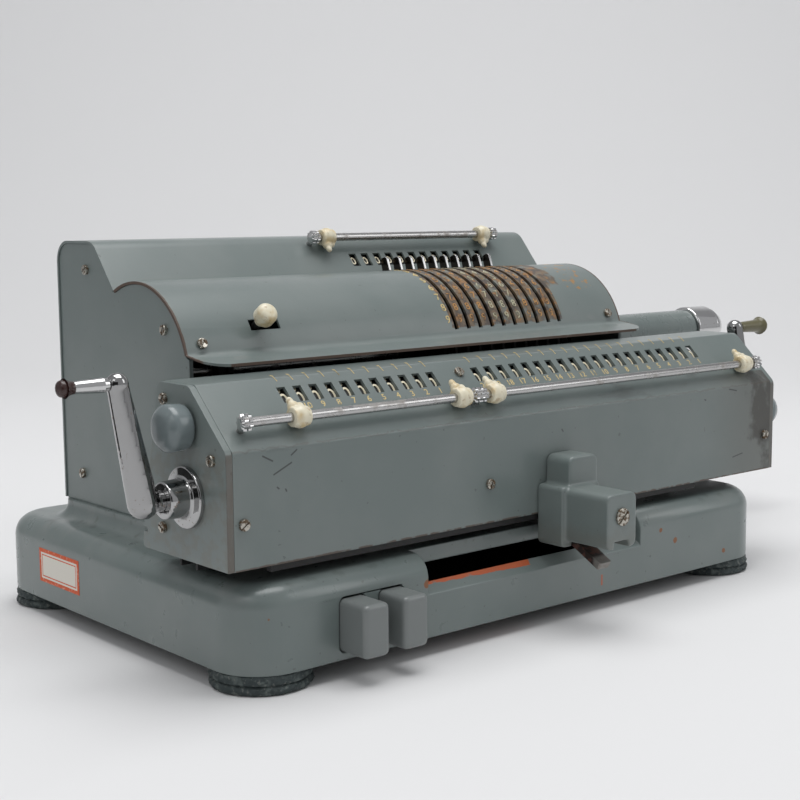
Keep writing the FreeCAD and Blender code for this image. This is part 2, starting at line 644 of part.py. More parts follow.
def make_change_lever():
    """Clutch collar on the drum shaft with a stem and an ivory knob above the cover."""
    bore = d.shaft_radius + d.fit
    half = d.collar_length / 2
    collar = turned("change_collar", [(-half, bore), (-half, d.collar_radius, 0.6), (-1.2, d.collar_radius),
                                      (-1.2, d.collar_radius - 1.5), (1.2, d.collar_radius - 1.5),
                                      (1.2, d.collar_radius), (half, d.collar_radius, 0.6), (half, bore)])
    put(collar, "change_x", "drum_y", "drum_z")
    start = on_drum(d.change_angle, d.collar_radius - 2)
    end = on_drum(d.change_angle, d.change_reach - d.change_knob)
    stem = taper("change_stem_bar", "change_stem", "change_stem", (d.change_x, *start), (d.change_x, *end))
    keep("change_lever", fuse("change_lever_body", collar, stem))
    knob = turned("change_knob", [(0, 0), (0, 2.6), (3, 2.9, 1), (4.2, d.change_knob, 2),
                                  (4.2 + 1.5 * d.change_knob, d.change_knob, 3.6), (4.2 + 1.7 * d.change_knob, 0)])
    turn = math.radians(d.change_angle)
    knob.Placement = Placement(Vector(d.change_x, *end),
                               Rotation(Vector(1, 0, 0), Vector(0, -math.sin(turn), math.cos(turn))))
    keep("change_knob", knob)


# Carriage: bent cover with dial windows, end plates, inner frame and its fittings

def make_carriage_cover():
    cover = new_body("carriage_cover")
    path = [(d.carriage_front, d.carriage_floor), (*BEND, d.bend_radius), (*CREST, d.bend_radius),
            (d.top_back - 1, CREST[1])]
    pad(cover, "carriage_sheet_metal", "YZ_Plane", sheet_outline(path, d.carriage_sheet),
        "carriage_length - 2 * end_sheet", "carriage_left + end_sheet")
    window = slanted(on_slope(WINDOW_MIDDLE), SLOPE, d.window_high - d.window_low, 6)
    first = pocket(cover, "counter_window", "YZ_Plane", window, "window_width", "counter_first")
    repeat(cover, first, "counter_windows", "X_Axis", "pitch", "counter_count")
    second = pocket(cover, "result_window", "YZ_Plane", window, "window_width", "result_first")
    repeat(cover, second, "result_windows", "X_Axis", "pitch", "result_count")


def make_carriage_ends():
    notch = d.carriage_floor + 9
    profile = outline([(d.carriage_front, d.carriage_floor), (*BEND, 5), (*CREST, 5), (d.top_back, CREST[1], 4),
                       (d.floor_back - 1.2, notch), (d.floor_back - 4, notch), (d.floor_back - 4, notch - 2),
                       (d.floor_back - 1, notch - 2), (d.floor_back, d.carriage_floor, 2)])
    for label, offset in (("carriage_left_end", "carriage_left"),
                          ("carriage_right_end", "carriage_left + carriage_length - end_sheet")):
        plate = new_body(label)
        pad(plate, label + "_plate", "YZ_Plane", profile, "end_sheet", offset)
        holes = ring(*DIAL_AXIS, d.dial_shaft + d.fit) + ring(*CLEAR_AXIS, d.clear_shaft + d.fit)
        pocket(plate, label + "_holes", "YZ_Plane", holes, "4 * end_sheet", offset)


def make_carriage_frame():
    """Floor tray on the rail, back wall and a middle bearing for the two dial shafts."""
    frame = new_body("carriage_frame")
    inside = d.carriage_front + d.carriage_sheet + d.air_gap
    length = "carriage_length - 2 * end_sheet - 0.2"
    start = "carriage_left + end_sheet + 0.1"
    back = d.floor_back - 3
    floor = outline([(inside, d.carriage_floor), (inside, d.carriage_floor + 2), (back - 2, d.carriage_floor + 2),
                     (back - 8, d.carriage_floor + 32), (back - 6, d.carriage_floor + 32), (back, d.carriage_floor)])
    pad(frame, "frame_floor", "YZ_Plane", floor, length, start)
    for side in (-1, 1):
        lip = d.rail_y + side * (d.rail_width / 2 + d.air_gap + d.guide_lip / 2)
        bar = rectangle(lip - d.guide_lip / 2, d.carriage_floor - 4, lip + d.guide_lip / 2, d.carriage_floor + 0.5)
        pad(frame, f"guide_lip_{side + 2}", "YZ_Plane", bar, length, start)
    web = outline([(inside, d.carriage_floor + 1), (inside, BEND[1] - 3), (DIAL_AXIS[0] - 7, DIAL_AXIS[1] + 2),
                   (DIAL_AXIS[0] + 2, DIAL_AXIS[1] + 7), (back - 8, DIAL_AXIS[1] + 7), (back - 2, d.carriage_floor + 1)])
    pad(frame, "middle_bearing", "YZ_Plane", web, "2 * end_sheet", "bearing_x - end_sheet")
    hole = ring(*DIAL_AXIS, d.dial_shaft + d.fit)
    pocket(frame, "bearing_hole", "YZ_Plane", hole, "4 * end_sheet", "bearing_x")


def make_lower_rail():
    rail = new_body("lower_rail")
    strip = rectangle(d.carriage_front + 0.4, d.carriage_floor - 2.6, d.carriage_front + 3.4, d.carriage_floor, 0)
    pad(rail, "lower_strip", "YZ_Plane", strip, "carriage_length - strip_left - strip_right", "carriage_left + strip_left")


def make_marker_rods():
    """Two bright rods in one line above the slope, held by knurled end posts."""
    y, z = MARKER_AXIS
    turn = Rotation(Vector(0, 0, 1), Vector(0, *SLOPE_OUT))
    foot = on_slope(d.marker_step)
    pieces = []
    ends = ((d.carriage_left + 11.5, d.bearing_x - 1.5), (d.bearing_x + 1.5, CARRIAGE_RIGHT - 14))
    for i, (left, right) in enumerate(ends, start=1):
        bar = rod(f"marker_bar_{i}", "marker_rod", str(right - left), str(left), str(y), str(z))
        posts = []
        for k, x in enumerate((left, right)):
            post = rod(f"marker_post_{i}_{k}", "1.6", "marker_lift", str(x), str(foot[0]), str(foot[1]), turn)
            nut = rod(f"marker_nut_{i}_{k}", "marker_rod + 0.9", "3", str(x - 1.5), str(y), str(z))
            posts += [post, nut]
        pieces.append(fuse(f"marker_rod_{i}", bar, *posts))
    group("marker_rods", pieces)


def make_rear_marker_rod():
    y, z = REAR_MARKER_AXIS
    turn = Rotation(Vector(0, 0, 1), Vector(0, *HUMP_OUT))
    foot = on_hump(d.rear_rod_up)
    left = FIRST_LEVER - 2 * d.pitch - 18
    right = LAST_LEVER + 18
    bar = rod("rear_marker_bar", "marker_rod", str(right - left), str(left), str(y), str(z))
    posts = []
    for k, x in enumerate((left, right)):
        posts.append(rod(f"rear_post_{k}", "1.6", "rear_rod_lift", str(x), str(foot[0]), str(foot[1]), turn))
        posts.append(rod(f"rear_nut_{k}", "marker_rod + 0.9", "4", str(x - 2), str(y), str(z)))
    keep("rear_marker_rod", fuse("rear_marker_rod_body", bar, *posts))


def make_pointer(label, x, axis, lean):
    """Ivory decimal marker: a round saddle on the rod with a beak beside the dials."""
    pointer = new_body(label)
    size = d.pointer_radius
    saddle = ring(0, 0, size) + ring(0, 0, d.marker_rod + d.fit)
    pad(pointer, label + "_saddle", "YZ_Plane", saddle, "pointer_width", "0", True)
    beak = outline([(-size * 0.2, size * 0.86), (size * 0.9, -size * 0.2), (d.pointer_beak - 1, -size * 0.35, 1),
                    (d.pointer_beak, size * 0.1, 1), (size * 1.2, size * 0.55, 2)])
    pad(pointer, label + "_beak", "YZ_Plane", beak, "pointer_width / 3", "0", True)
    bore = ring(0, 0, d.marker_rod + d.fit)
    pocket(pointer, label + "_bore", "YZ_Plane", bore, "2 * pointer_width")
    put(pointer, str(x), str(axis[0]), str(axis[1]), Rotation(Vector(1, 0, 0), lean))


def make_pointers():
    slope_angle = math.degrees(math.atan2(d.slope_rise, d.slope_run))
    hump_angle = math.degrees(math.atan2(HUMP_RISE, d.hump_slope_run))
    left = d.carriage_left + 11.5
    right = CARRIAGE_RIGHT - 14
    spots = (("counter_pointer_1", left + 26), ("counter_pointer_2", d.bearing_x - 10),
             ("result_pointer_1", d.bearing_x + 10), ("result_pointer_2", right - 8))
    for label, x in spots:
        make_pointer(label, x, MARKER_AXIS, slope_angle)
    make_pointer("check_pointer_1", FIRST_LEVER - 2 * d.pitch - 10, REAR_MARKER_AXIS, hump_angle + 180)
    make_pointer("check_pointer_2", LAST_LEVER + 10, REAR_MARKER_AXIS, hump_angle + 180)


def make_dials(label, first, count):
    bore = d.dial_shaft + d.seat
    profile = [(0, bore), (0, d.dial_radius - 1.2), (0.7, d.dial_radius - 1.2), (0.7, d.dial_radius),
               (d.dial_width, d.dial_radius), (d.dial_width, bore)]
    wheels = []
    for i in range(int(count)):
        wheel = turned(f"{label}_{i + 1}", profile)
        put(wheel, f"{first} + pitch * {i} - dial_width / 2", str(DIAL_AXIS[0]), str(DIAL_AXIS[1]))
        wheels.append(wheel)
    group(label, wheels)


def gear(name, teeth_alias, x, axis, turn):
    """Spur gear with plain tapered teeth that turns on X."""
    body = doc.addObject("PartDesign::Body", name)
    module = 2 * (DIAL_AXIS[1] - CLEAR_AXIS[1]) / (d.pinion_teeth + d.drive_teeth)
    radius = module * float(sheet.get(teeth_alias)) / 2
    root = radius - 1.15 * module
    tip = radius + 0.8 * module
    half = math.pi * module / 4 - d.gear_backlash / 2
    pad(body, name + "_disc", "YZ_Plane", ring(0, 0, root), "gear_width")
    tooth = outline([(-half * 1.5, root - 0.4), (half * 1.5, root - 0.4), (half * 0.45, tip), (-half * 0.45, tip)])
    first = pad(body, name + "_tooth", "YZ_Plane", tooth, "gear_width")
    repeat_round(body, first, name + "_teeth", "X_Axis", teeth_alias)
    return put(body, x, str(axis[0]), str(axis[1]), Rotation(Vector(1, 0, 0), turn))


def make_register(label, side, wall_x, first, count, spindle_length):
    """Dial shaft with its dials and pinion, and the clearing crank's gear below it."""
    half_tooth = 180 / d.drive_teeth
    gear_x = wall_x - side * (d.end_sheet + 6) - d.gear_width / 2
    inner_end = d.bearing_x + side * 1
    outer_end = wall_x + side * 0.8
    low, high = sorted((inner_end, outer_end))
    bar = rod(label + "_bar", "dial_shaft", str(high - low), str(low), str(DIAL_AXIS[0]), str(DIAL_AXIS[1]))
    pinion = gear(label + "_pinion", "pinion_teeth", str(gear_x), DIAL_AXIS, 0)
    keep(label + "_shaft", fuse(label + "_shaft_body", bar, pinion))
    make_dials(label + "_dials", first, count)
    wheel = gear(label + "_drive", "drive_teeth", str(gear_x), CLEAR_AXIS, half_tooth)
    inner = wall_x - side * (d.end_sheet + 11)
    outer = wall_x + side * spindle_length
    low, high = sorted((inner, outer))
    spindle = rod(label + "_spindle", "clear_shaft", str(high - low), str(low), str(CLEAR_AXIS[0]), str(CLEAR_AXIS[1]))
    return wheel, spindle


def make_counter_register():
    side = -1
    wall = d.carriage_left
    wheel, spindle = make_register("counter", side, wall, "counter_first", d.counter_count, 18)
    knob = turned("counter_knob", [(0, 0), (0, d.knob_radius - 0.6, 1), (0.72 * d.knob_length, d.knob_radius, 3),
                                   (0.95 * d.knob_length, 0.66 * d.knob_radius, 3), (d.knob_length, 0)])
    put(knob, f"{wall} - 0.8", str(DIAL_AXIS[0]), str(DIAL_AXIS[1]), Rotation(Vector(0, 0, 1), 180))
    keep("counter_knob", knob)
    start = (wall - 20, *CLEAR_AXIS)
    top = (wall - 28.8, CLEAR_AXIS[0] + 1.3, CLEAR_AXIS[1] + d.clear_arm)
    clearing_crank("counter", wheel, spindle, start, top, side, -0.6)


def make_result_register():
    side = 1
    wall = CARRIAGE_RIGHT
    wheel, spindle = make_register("result", side, wall, "result_first", d.result_count, d.cap_gap - d.seat)
    start = (wall + 12.5, *CLEAR_AXIS)
    top = (wall + 10.5, CLEAR_AXIS[0] + 6, CLEAR_AXIS[1] + d.clear_arm - 1)
    clearing_crank("result", wheel, spindle, start, top, side, 0.6)
    cap = turned("result_cap", [(0, 0), (0, 0.9 * d.cap_radius, 1), (0.3 * d.cap_length, d.cap_radius, 5),
                                (0.9 * d.cap_length, 0.7 * d.cap_radius, 5), (d.cap_length, 0)])
    keep("result_cap", put(cap, f"{wall} + cap_gap", str(CLEAR_AXIS[0]), str(CLEAR_AXIS[1])))


def clearing_crank(label, wheel, spindle, start, top, side, swell):
    """Chrome club-shaped arm with a ball, and a handle that points away from the carriage."""
    low_end = ball(label + "_arm_low", "clear_arm_big", *(str(v) for v in start))
    shank = taper(label + "_arm_bar", "clear_arm_big", "clear_arm_small", start, top)
    top_end = ball(label + "_arm_top", "clear_ball", *(str(v) for v in top))
    keep(label + "_crank_arm", fuse(label + "_crank_body", wheel, spindle, low_end, shank, top_end))
    length = d.clear_handle
    thick = 3.3 + swell
    handle = turned(label + "_handle", [(0, 0), (0, 2.6), (2, 2.9, 0.6), (length - 5, thick - 0.4, 6),
                                        (length - 4, thick + 0.5, 0.6), (length - 1, thick + 0.5, 1.5), (length, 0)])
    turn = Rotation(Vector(0, 0, 1), 180) if side < 0 else Rotation()
    put(handle, str(top[0] + side * (d.clear_ball - 0.15)), str(top[1]), str(top[2]), turn)
    keep(label + "_crank_handle", handle)


def make_crank_flanges():
    """Three-screw flange and boss round each clearing spindle."""
    pieces = []
    bore = d.clear_shaft + d.fit
    for i, (x, turn) in enumerate(((d.carriage_left, 180), (CARRIAGE_RIGHT, 0)), start=1):
        boss = 11.8 if turn else 5.4
        flange = turned(f"flange_{i}", [(0, bore), (0, d.clear_flange), (2.2, d.clear_flange, 0.8), (2.6, 8, 1.5),
                                        (boss, 7.4, 1), (boss, bore)])
        put(flange, str(x), str(CLEAR_AXIS[0]), str(CLEAR_AXIS[1]), Rotation(Vector(0, 0, 1), turn))
        pieces.append(flange)
    group("crank_flanges", pieces)


def make_handle():
    """Cast carriage handle: a stepped block on the carriage and a forward block with a notch."""
    handle = new_body("handle_casting")
    front = d.carriage_front - d.seat
    low_block = rectangle(d.handle_left, d.handle_low, d.handle_right + 1, d.handle_step, 2)
    pad(handle, "handle_low_block", "XZ_Plane", low_block, "handle_depth", str(-front))
    high_block = rectangle(d.handle_left + 5.5, d.handle_step - 6, d.handle_right, d.handle_top, 3.5)
    pad(handle, "handle_high_block", "XZ_Plane", high_block, "handle_depth - 0.6", str(-front))
    forward = rectangle(d.block_left, d.block_low, d.block_right, d.block_top, 3)
    pad(handle, "handle_forward_block", "XZ_Plane", forward, "handle_depth + block_reach", str(-front))
    reach = front - d.handle_depth - d.block_reach
    hollow = outline([(reach - 1, d.block_low + 3.2), (reach - 1, d.block_low - 9), (front - d.handle_depth + 6, d.block_low - 9),
                      (front - d.handle_depth + 6, d.block_low + 3.2)])
    middle = (d.block_left + d.block_right) / 2
    pocket(handle, "lever_channel", "YZ_Plane", hollow, "10", str(middle))


def make_release_lever():
    """Worn bar under the handle, hinged at its back end and squeezed up to free the carriage."""
    lever = new_body("release_lever")
    pivot = (d.carriage_front - d.lever_pivot_back, d.lever_pivot_z)
    tip = (d.carriage_front - d.lever_tip_back, d.lever_tip_z)
    length = math.hypot(tip[0] - pivot[0], tip[1] - pivot[1])
    along = ((tip[0] - pivot[0]) / length, (tip[1] - pivot[1]) / length)
    bar = slanted(((pivot[0] + tip[0]) / 2, (pivot[1] + tip[1]) / 2), along, length, d.lever_bar)
    middle = str((d.block_left + d.block_right) / 2)
    pad(lever, "release_bar", "YZ_Plane", bar, "lever_bar_width", middle, True)
    pad(lever, "release_eye", "YZ_Plane", ring(*pivot, d.lever_bar * 0.6), "lever_bar_width + 1.9", middle, True)
    round_edges(lever, "release_edges", "0.9", lambda e: e.BoundBox.XLength < 0.01 and e.BoundBox.YMin < tip[0] + 6
                and e.BoundBox.ZMax < pivot[1] - 3)


def make_carriage_screws():
    screws = []
    front = d.carriage_front
    for i, (x, z) in enumerate(((-154, 69), (-23.7, 68.4), (176.4, 69.6)), start=1):
        screws.append(screw(f"front_screw_{i}", (x, front, z), (0, -1, 0), 35 * i))
    slope_spot = on_slope(27.4)
    screws.append(screw("slope_screw", (-23.9, *slope_spot), (0, *SLOPE_OUT), 20))
    for side, x in ((-1, d.carriage_left), (1, CARRIAGE_RIGHT)):
        for i, (y, z) in enumerate(((-51, 114.5), (-84.4, 93.5), (-48, 62)), start=1):
            screws.append(screw(f"end_screw_{side + 1}_{i}", (x, y, z), (side, 0, 0), 50 * i))
    middle = (d.block_left + d.block_right) / 2
    reach = front - d.seat - d.handle_depth - d.block_reach
    big = turned("handle_screw", [(0, 0), (1.2, 0), (1.2, 5.4, 0.5), (0, 5.4)])
    pocket(big, "handle_screw_slot", "YZ_Plane", rectangle(-7, -0.7, 7, 0.7), "1.2", "1.2")
    big.Placement = Placement(Vector(middle, reach, d.block_low + 14.2), Rotation(Vector(1, 0, 0), Vector(0, -1, 0))
                              * Rotation(Vector(1, 0, 0), 40))
    screws.append(big)
    group("carriage_screws", screws)


def make_body_screws():
    screws = []
    for side in (-1, 1):
        for i, (y, z) in enumerate((TOP_ROD, on_drum(46, 31.6), BACK_ROD), start=1):
            screws.append(screw(f"side_screw_{side + 1}_{i}", (side * HALF, y, z), (side, 0, 0), 40 * i + 10 * side))
    turn = math.radians(66.8)
    out = (0, -math.sin(turn), math.cos(turn))
    spot = on_drum(66.8, d.cover_radius)
    for i, x in enumerate((8.2 - HALF, HALF - 8.2), start=1):
        screws.append(screw(f"cover_screw_{i}", (x, *spot), out, 30 * i))
    group("body_screws", screws)


def make_keys():
    """Two rounded push keys that slide back through the base's front wall."""
    for i in (0, 1):
        label = f"step_key_{i + 1}"
        key = new_body(label)
        left = d.key_left + i * d.key_step
        face = rectangle(left, d.key_low, left + d.key_width, d.key_low + d.key_height, 2.2)
        pad(key, label + "_block", "XZ_Plane", face, "key_length", "front_setback + key_proud - key_length")
        front = -(d.front_setback + d.key_proud)
        round_edges(key, label + "_edges", "key_round - 0.6", lambda e: e.BoundBox.YMax < front + 0.01)


make_base()
make_bottom_plate()
make_feet()
make_rail()
make_side_plates()
make_drum_cover()
make_rear_cover()
make_check_wheels()
make_frame_rods()
make_front_plate()
make_crank()
make_pinwheels()
make_setting_levers()
make_change_lever()
make_carriage_cover()
make_carriage_ends()
make_carriage_frame()
make_lower_rail()
make_marker_rods()
make_rear_marker_rod()
make_pointers()
make_counter_register()
make_result_register()
make_crank_flanges()
make_handle()
make_release_lever()
make_carriage_screws()
make_body_screws()
make_keys()

doc.recompute()

faults = [thing.Name for thing in doc.Objects if "Invalid" in thing.State or "Error" in thing.State]
for label, thing in PARTS.items():
    if thing.Shape.isNull() or not thing.Shape.isValid() or not thing.Shape.Solids:
        faults.append(label)
if faults:
    raise RuntimeError("Faulty objects: " + ", ".join(faults))

os.makedirs("parts", exist_ok=True)
for label, thing in PARTS.items():
    thing.Shape.exportStep(f"parts/{label}.step")
print(len(PARTS), "parts written")
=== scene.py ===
import json
import math
from functools import reduce
from operator import or_

import bmesh
import bpy
from mathutils import Matrix, Vector, noise

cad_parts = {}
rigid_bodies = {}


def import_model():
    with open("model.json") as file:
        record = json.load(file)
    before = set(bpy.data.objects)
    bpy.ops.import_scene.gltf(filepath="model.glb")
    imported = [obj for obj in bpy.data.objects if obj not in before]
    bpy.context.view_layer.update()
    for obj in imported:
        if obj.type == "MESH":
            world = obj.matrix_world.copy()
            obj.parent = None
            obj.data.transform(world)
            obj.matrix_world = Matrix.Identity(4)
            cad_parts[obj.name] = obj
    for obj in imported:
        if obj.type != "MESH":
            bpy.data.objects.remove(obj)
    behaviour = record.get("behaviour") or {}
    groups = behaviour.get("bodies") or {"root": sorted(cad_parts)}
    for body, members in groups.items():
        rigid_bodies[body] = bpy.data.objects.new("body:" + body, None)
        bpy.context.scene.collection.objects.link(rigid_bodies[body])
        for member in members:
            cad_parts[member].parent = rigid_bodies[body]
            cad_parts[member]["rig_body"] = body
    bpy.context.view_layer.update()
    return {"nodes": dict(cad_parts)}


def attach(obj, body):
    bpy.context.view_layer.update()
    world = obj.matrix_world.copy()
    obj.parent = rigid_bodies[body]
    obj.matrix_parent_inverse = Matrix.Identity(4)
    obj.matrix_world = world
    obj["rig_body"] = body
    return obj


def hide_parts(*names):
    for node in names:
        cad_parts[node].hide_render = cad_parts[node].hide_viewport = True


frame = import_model()


# --- Base casting -------------------------------------------------------------------------
# Heavy iron box with rounded edges, stoved in grey-green enamel. Its front has a scoop with a
# stripe where the enamel has gone down to the red primer, and chips show the same primer.

class Value:
    """One value in a node tree; each sum with it adds a Math node."""

    def __init__(self, tree, socket):
        self.tree = tree
        self.socket = socket

    def math(self, operation, *terms):
        return self.tree.add("ShaderNodeMath", {"operation": operation}, dict(enumerate(terms)))

    def __add__(self, other):
        return self.math("ADD", self, other)

    def __sub__(self, other):
        return self.math("SUBTRACT", self, other)

    def __rsub__(self, other):
        return self.math("SUBTRACT", other, self)

    def __mul__(self, other):
        return self.math("MULTIPLY", self, other)

    def __truediv__(self, other):
        return self.math("DIVIDE", self, other)

    def __mod__(self, other):
        return self.math("FLOORED_MODULO", self, other)

    def __lt__(self, other):
        return self.math("LESS_THAN", self, other)

    def __or__(self, other):
        return self.math("MAXIMUM", self, other)

    def __and__(self, other):
        return self.math("MINIMUM", self, other)

    def __abs__(self):
        return self.math("ABSOLUTE", self)

    __radd__ = __add__
    __rmul__ = __mul__


class Tree:
    """A node tree whose nodes are added by their type, settings and inputs."""

    def __init__(self, tree):
        self.nodes = tree.nodes
        self.links = tree.links

    def add(self, kind, settings, inputs, output=0):
        node = self.nodes.new(kind)
        for name, setting in settings.items():
            setattr(node, name, setting)
        for key, given in inputs.items():
            self.feed(node.inputs[key], given)
        return Value(self, node.outputs[output])

    def feed(self, socket, given):
        if isinstance(given, Value):
            self.links.new(given.socket, socket)
        elif isinstance(given, tuple) and len(given) == 3 and socket.type == "RGBA":
            socket.default_value = (*given, 1)
        else:
            socket.default_value = given


class Finish(Tree):
    """A material whose pattern is written as sums of values in millimetres."""

    def __init__(self, name, colour, **settings):
        self.material = bpy.data.materials.new(name)
        self.material.use_nodes = True
        super().__init__(self.material.node_tree)
        self.shader = self.nodes["Principled BSDF"]
        self.set(base_color=colour, **settings)
        self.point = self.add("ShaderNodeTexCoord", {}, {}, "Object")
        split = self.add("ShaderNodeSeparateXYZ", {}, {0: self.point})
        outputs = split.socket.node.outputs
        self.x, self.y, self.z = (Value(self, outputs[k]) * 1000 for k in range(3))

    def noise(self, size, detail=3.0, stretch=(1, 1, 1), seed=0.0):
        """Cloudy noise from 0 to 1, with patches of about this size in millimetres."""
        place = self.add("ShaderNodeMapping", {},
                         {"Vector": self.point, "Scale": stretch, "Location": (seed, seed, seed)})
        return self.add("ShaderNodeTexNoise", {},
                        {"Vector": place, "Scale": 1000 / size, "Detail": detail})

    def smooth(self, value, low, high):
        """0 where value is low, 1 where it is high, and a soft step between."""
        settings = {"interpolation_type": "SMOOTHSTEP"}
        return self.add("ShaderNodeMapRange", settings, {0: value, 1: low, 2: high, 3: 0.0, 4: 1.0})

    def near(self, value, centre, reach, fade):
        """1 within reach of a centre and 0 beyond the fade."""
        return 1 - self.smooth(abs(value - centre), reach, reach + fade)

    def away(self, spot):
        """Distance from a spot in millimetres."""
        metres = tuple(v / 1000 for v in spot)
        return self.add("ShaderNodeVectorMath", {"operation": "DISTANCE"},
                        {0: self.point, 1: metres}, "Value") * 1000

    def spots(self, places, ragged):
        """Ragged spots, each given as x, y, z and radius."""
        uneven = 0.4 + 1.2 * ragged
        return reduce(or_, [self.smooth(radius * uneven - self.away(spot), 0, 0.4)
                            for *spot, radius in places])

    def scratches(self, places, width=0.25):
        """Thin straight scratches on a front face, each from x, z to x, z."""
        masks = []
        for ax, az, bx, bz in places:
            length = math.hypot(bx - ax, bz - az)
            along = ((bx - ax) / length, (bz - az) / length)
            run = (self.x - ax) * along[0] + (self.z - az) * along[1]
            off = (self.x - ax) * along[1] - (self.z - az) * along[0]
            masks.append(self.near(run, length / 2, length / 2, 0.5)
                         & self.near(off, 0, width, 0.15))
        return reduce(or_, masks)

    def normal(self, axis):
        """How far a face looks along an axis, from -1 to 1."""
        normal = self.add("ShaderNodeNewGeometry", {}, {}, "Normal")
        return self.add("ShaderNodeSeparateXYZ", {}, {0: normal}, axis)

    def mix(self, mask, plain, marked):
        return self.add("ShaderNodeMix", {"data_type": "RGBA"}, {0: mask, 6: plain, 7: marked}, 2)

    def set(self, **given):
        for socket, value in given.items():
            self.feed(self.shader.inputs[socket.replace("_", " ").title()], value)

    def bump(self, height, strength, distance):
        normal = self.add("ShaderNodeBump", {},
                          {"Height": height, "Strength": strength, "Distance": distance})
        self.feed(self.shader.inputs["Normal"], normal)


ENAMEL = (0.135, 0.165, 0.160)
CLOUDED = (0.155, 0.182, 0.176)
DUST = (0.21, 0.22, 0.21)
GRIME = (0.045, 0.05, 0.047)
BROWN = (0.075, 0.045, 0.030)
PRIMER = (0.40, 0.085, 0.025)
CHIP = (0.20, 0.075, 0.025)
STRIPE = {"middle": -32, "half": 30, "y": -95.5, "skew": 0.025, "width": 1.3, "top": 40}
INDEX_LINE = {"x": 43.6, "z": 14.8, "half": 2.4}
CHIPS = [(86, -100, 32.4, 1.3), (97, -100, 25.8, 1.6), (136, -100, 14.5, 1.5),
         (149, -97, 38.5, 1.6), (151, -96, 36.5, 1.1), (-66, -98, 32, 3.0), (-150, -93, 36, 1.0),
         (-146, -98, 31, 0.8), (-126, -99, 36, 0.8), (-8, -95, 33, 1.2)]


def enamel(name, marks=None, gloss=0.30):
    """Grey-green enamel, a little cloudy; marks(finish, colour) adds a piece's own wear."""
    finish = Finish(name, ENAMEL, coat_weight=0.2, coat_roughness=0.15)
    cloud = finish.noise(38, 4)
    colour = finish.mix(finish.smooth(cloud, 0.35, 0.7), ENAMEL, CLOUDED)
    specks = finish.smooth(finish.noise(2.6, 2, seed=3.0), 0.72, 0.77)
    colour = finish.mix(specks * 0.45, colour, (0.05, 0.055, 0.05))
    rough = gloss + 0.16 * finish.noise(9, 5, seed=1.0)
    if marks:
        colour, bare = marks(finish, colour)
        rough = rough + 0.25 * bare
    finish.set(base_color=colour, roughness=rough)
    finish.bump(finish.noise(1.4, 2), 0.12, 0.0002)
    return finish.material


def show(piece, body, node=None):
    """Links a piece to the scene, on a body, in place of a CAD node where it has one."""
    if piece.name not in bpy.context.scene.collection.objects:
        bpy.context.scene.collection.objects.link(piece)
    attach(piece, body)
    if node:
        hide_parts(node)
    return piece


def finished(name, mesh, material, corner=35):
    """Object from a bmesh, smooth where its faces meet at less than the corner angle."""
    data = bpy.data.meshes.new(name)
    mesh.to_mesh(data)
    mesh.free()
    data.materials.clear()
    data.materials.append(material)
    data.polygons.foreach_set("use_smooth", [True] * len(data.polygons))
    data.set_sharp_from_angle(angle=math.radians(corner))
    piece = bpy.data.objects.new(name, data)
    bpy.context.scene.collection.objects.link(piece)
    return piece


def soften(piece, edge, corner=35):
    bevel = piece.modifiers.new("soft edge", "BEVEL")
    bevel.width = edge / 1000
    bevel.segments = 2
    bevel.limit_method = "ANGLE"
    bevel.angle_limit = math.radians(corner)
    bevel.harden_normals = True


def dressed(node, material, edge=0.3, corner=35, reshape=None):
    """Shows a CAD node as a copy whose triangles are merged and whose edges are softened."""
    solid = frame["nodes"][node]
    mesh = bmesh.new()
    mesh.from_mesh(solid.data)
    bmesh.ops.remove_doubles(mesh, verts=mesh.verts, dist=0.000002)
    bmesh.ops.dissolve_limit(mesh, angle_limit=math.radians(0.6), verts=mesh.verts,
                             edges=mesh.edges)
    for face in mesh.faces:
        face.material_index = 0
    if reshape:
        reshape(mesh)
    piece = finished(node + "_finished", mesh, material, corner)
    if edge:
        soften(piece, edge, corner)
    return show(piece, solid["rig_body"], node)


def base_marks(finish, colour):
    x, y, z = finish.x, finish.y, finish.z
    ragged = finish.noise(5, 4, seed=7.0)
    along = finish.near(x, STRIPE["middle"], STRIPE["half"], 5)
    across = finish.near(y + STRIPE["skew"] * x, STRIPE["y"], STRIPE["width"], 1.6)
    bare = finish.smooth((along & across & (z < STRIPE["top"])) + ragged, 1.25, 1.45)
    chips = finish.spots(CHIPS, ragged)
    index = (finish.near(x, INDEX_LINE["x"], 0.4, 0.2)
             & finish.near(z, INDEX_LINE["z"], INDEX_LINE["half"], 0.3) & (y < -99))
    colour = finish.mix(chips, colour, CHIP)
    colour = finish.mix(bare | index, colour, PRIMER)
    dust = finish.smooth(finish.noise(16, 4, (0.4, 1, 1), 11.0), 0.50, 0.75)
    grime = finish.smooth(finish.noise(7, 4, seed=15.0), 0.56, 0.7)
    colour = finish.mix((dust & finish.smooth(z, 34, 44)) * 0.35, colour, DUST)
    grime_on_top = grime & finish.smooth(z, 40, 46)
    return finish.mix(grime_on_top * 0.5, colour, GRIME), bare | chips


dressed("base_casting", enamel("stoved enamel of the base", base_marks, 0.22), edge=0.8)


# --- Paper label ----------------------------------------------------------------------------
# A thin label stuck on the left side of the base, with a broad and a thin orange border. It
# carries no writing.

LABEL = {"back": 70.2, "front": 32.3, "low": 16.9, "high": 32.7, "thick": 0.15}
LABEL_PAPER = (0.72, 0.69, 0.62)
LABEL_ORANGE = (0.62, 0.10, 0.03)


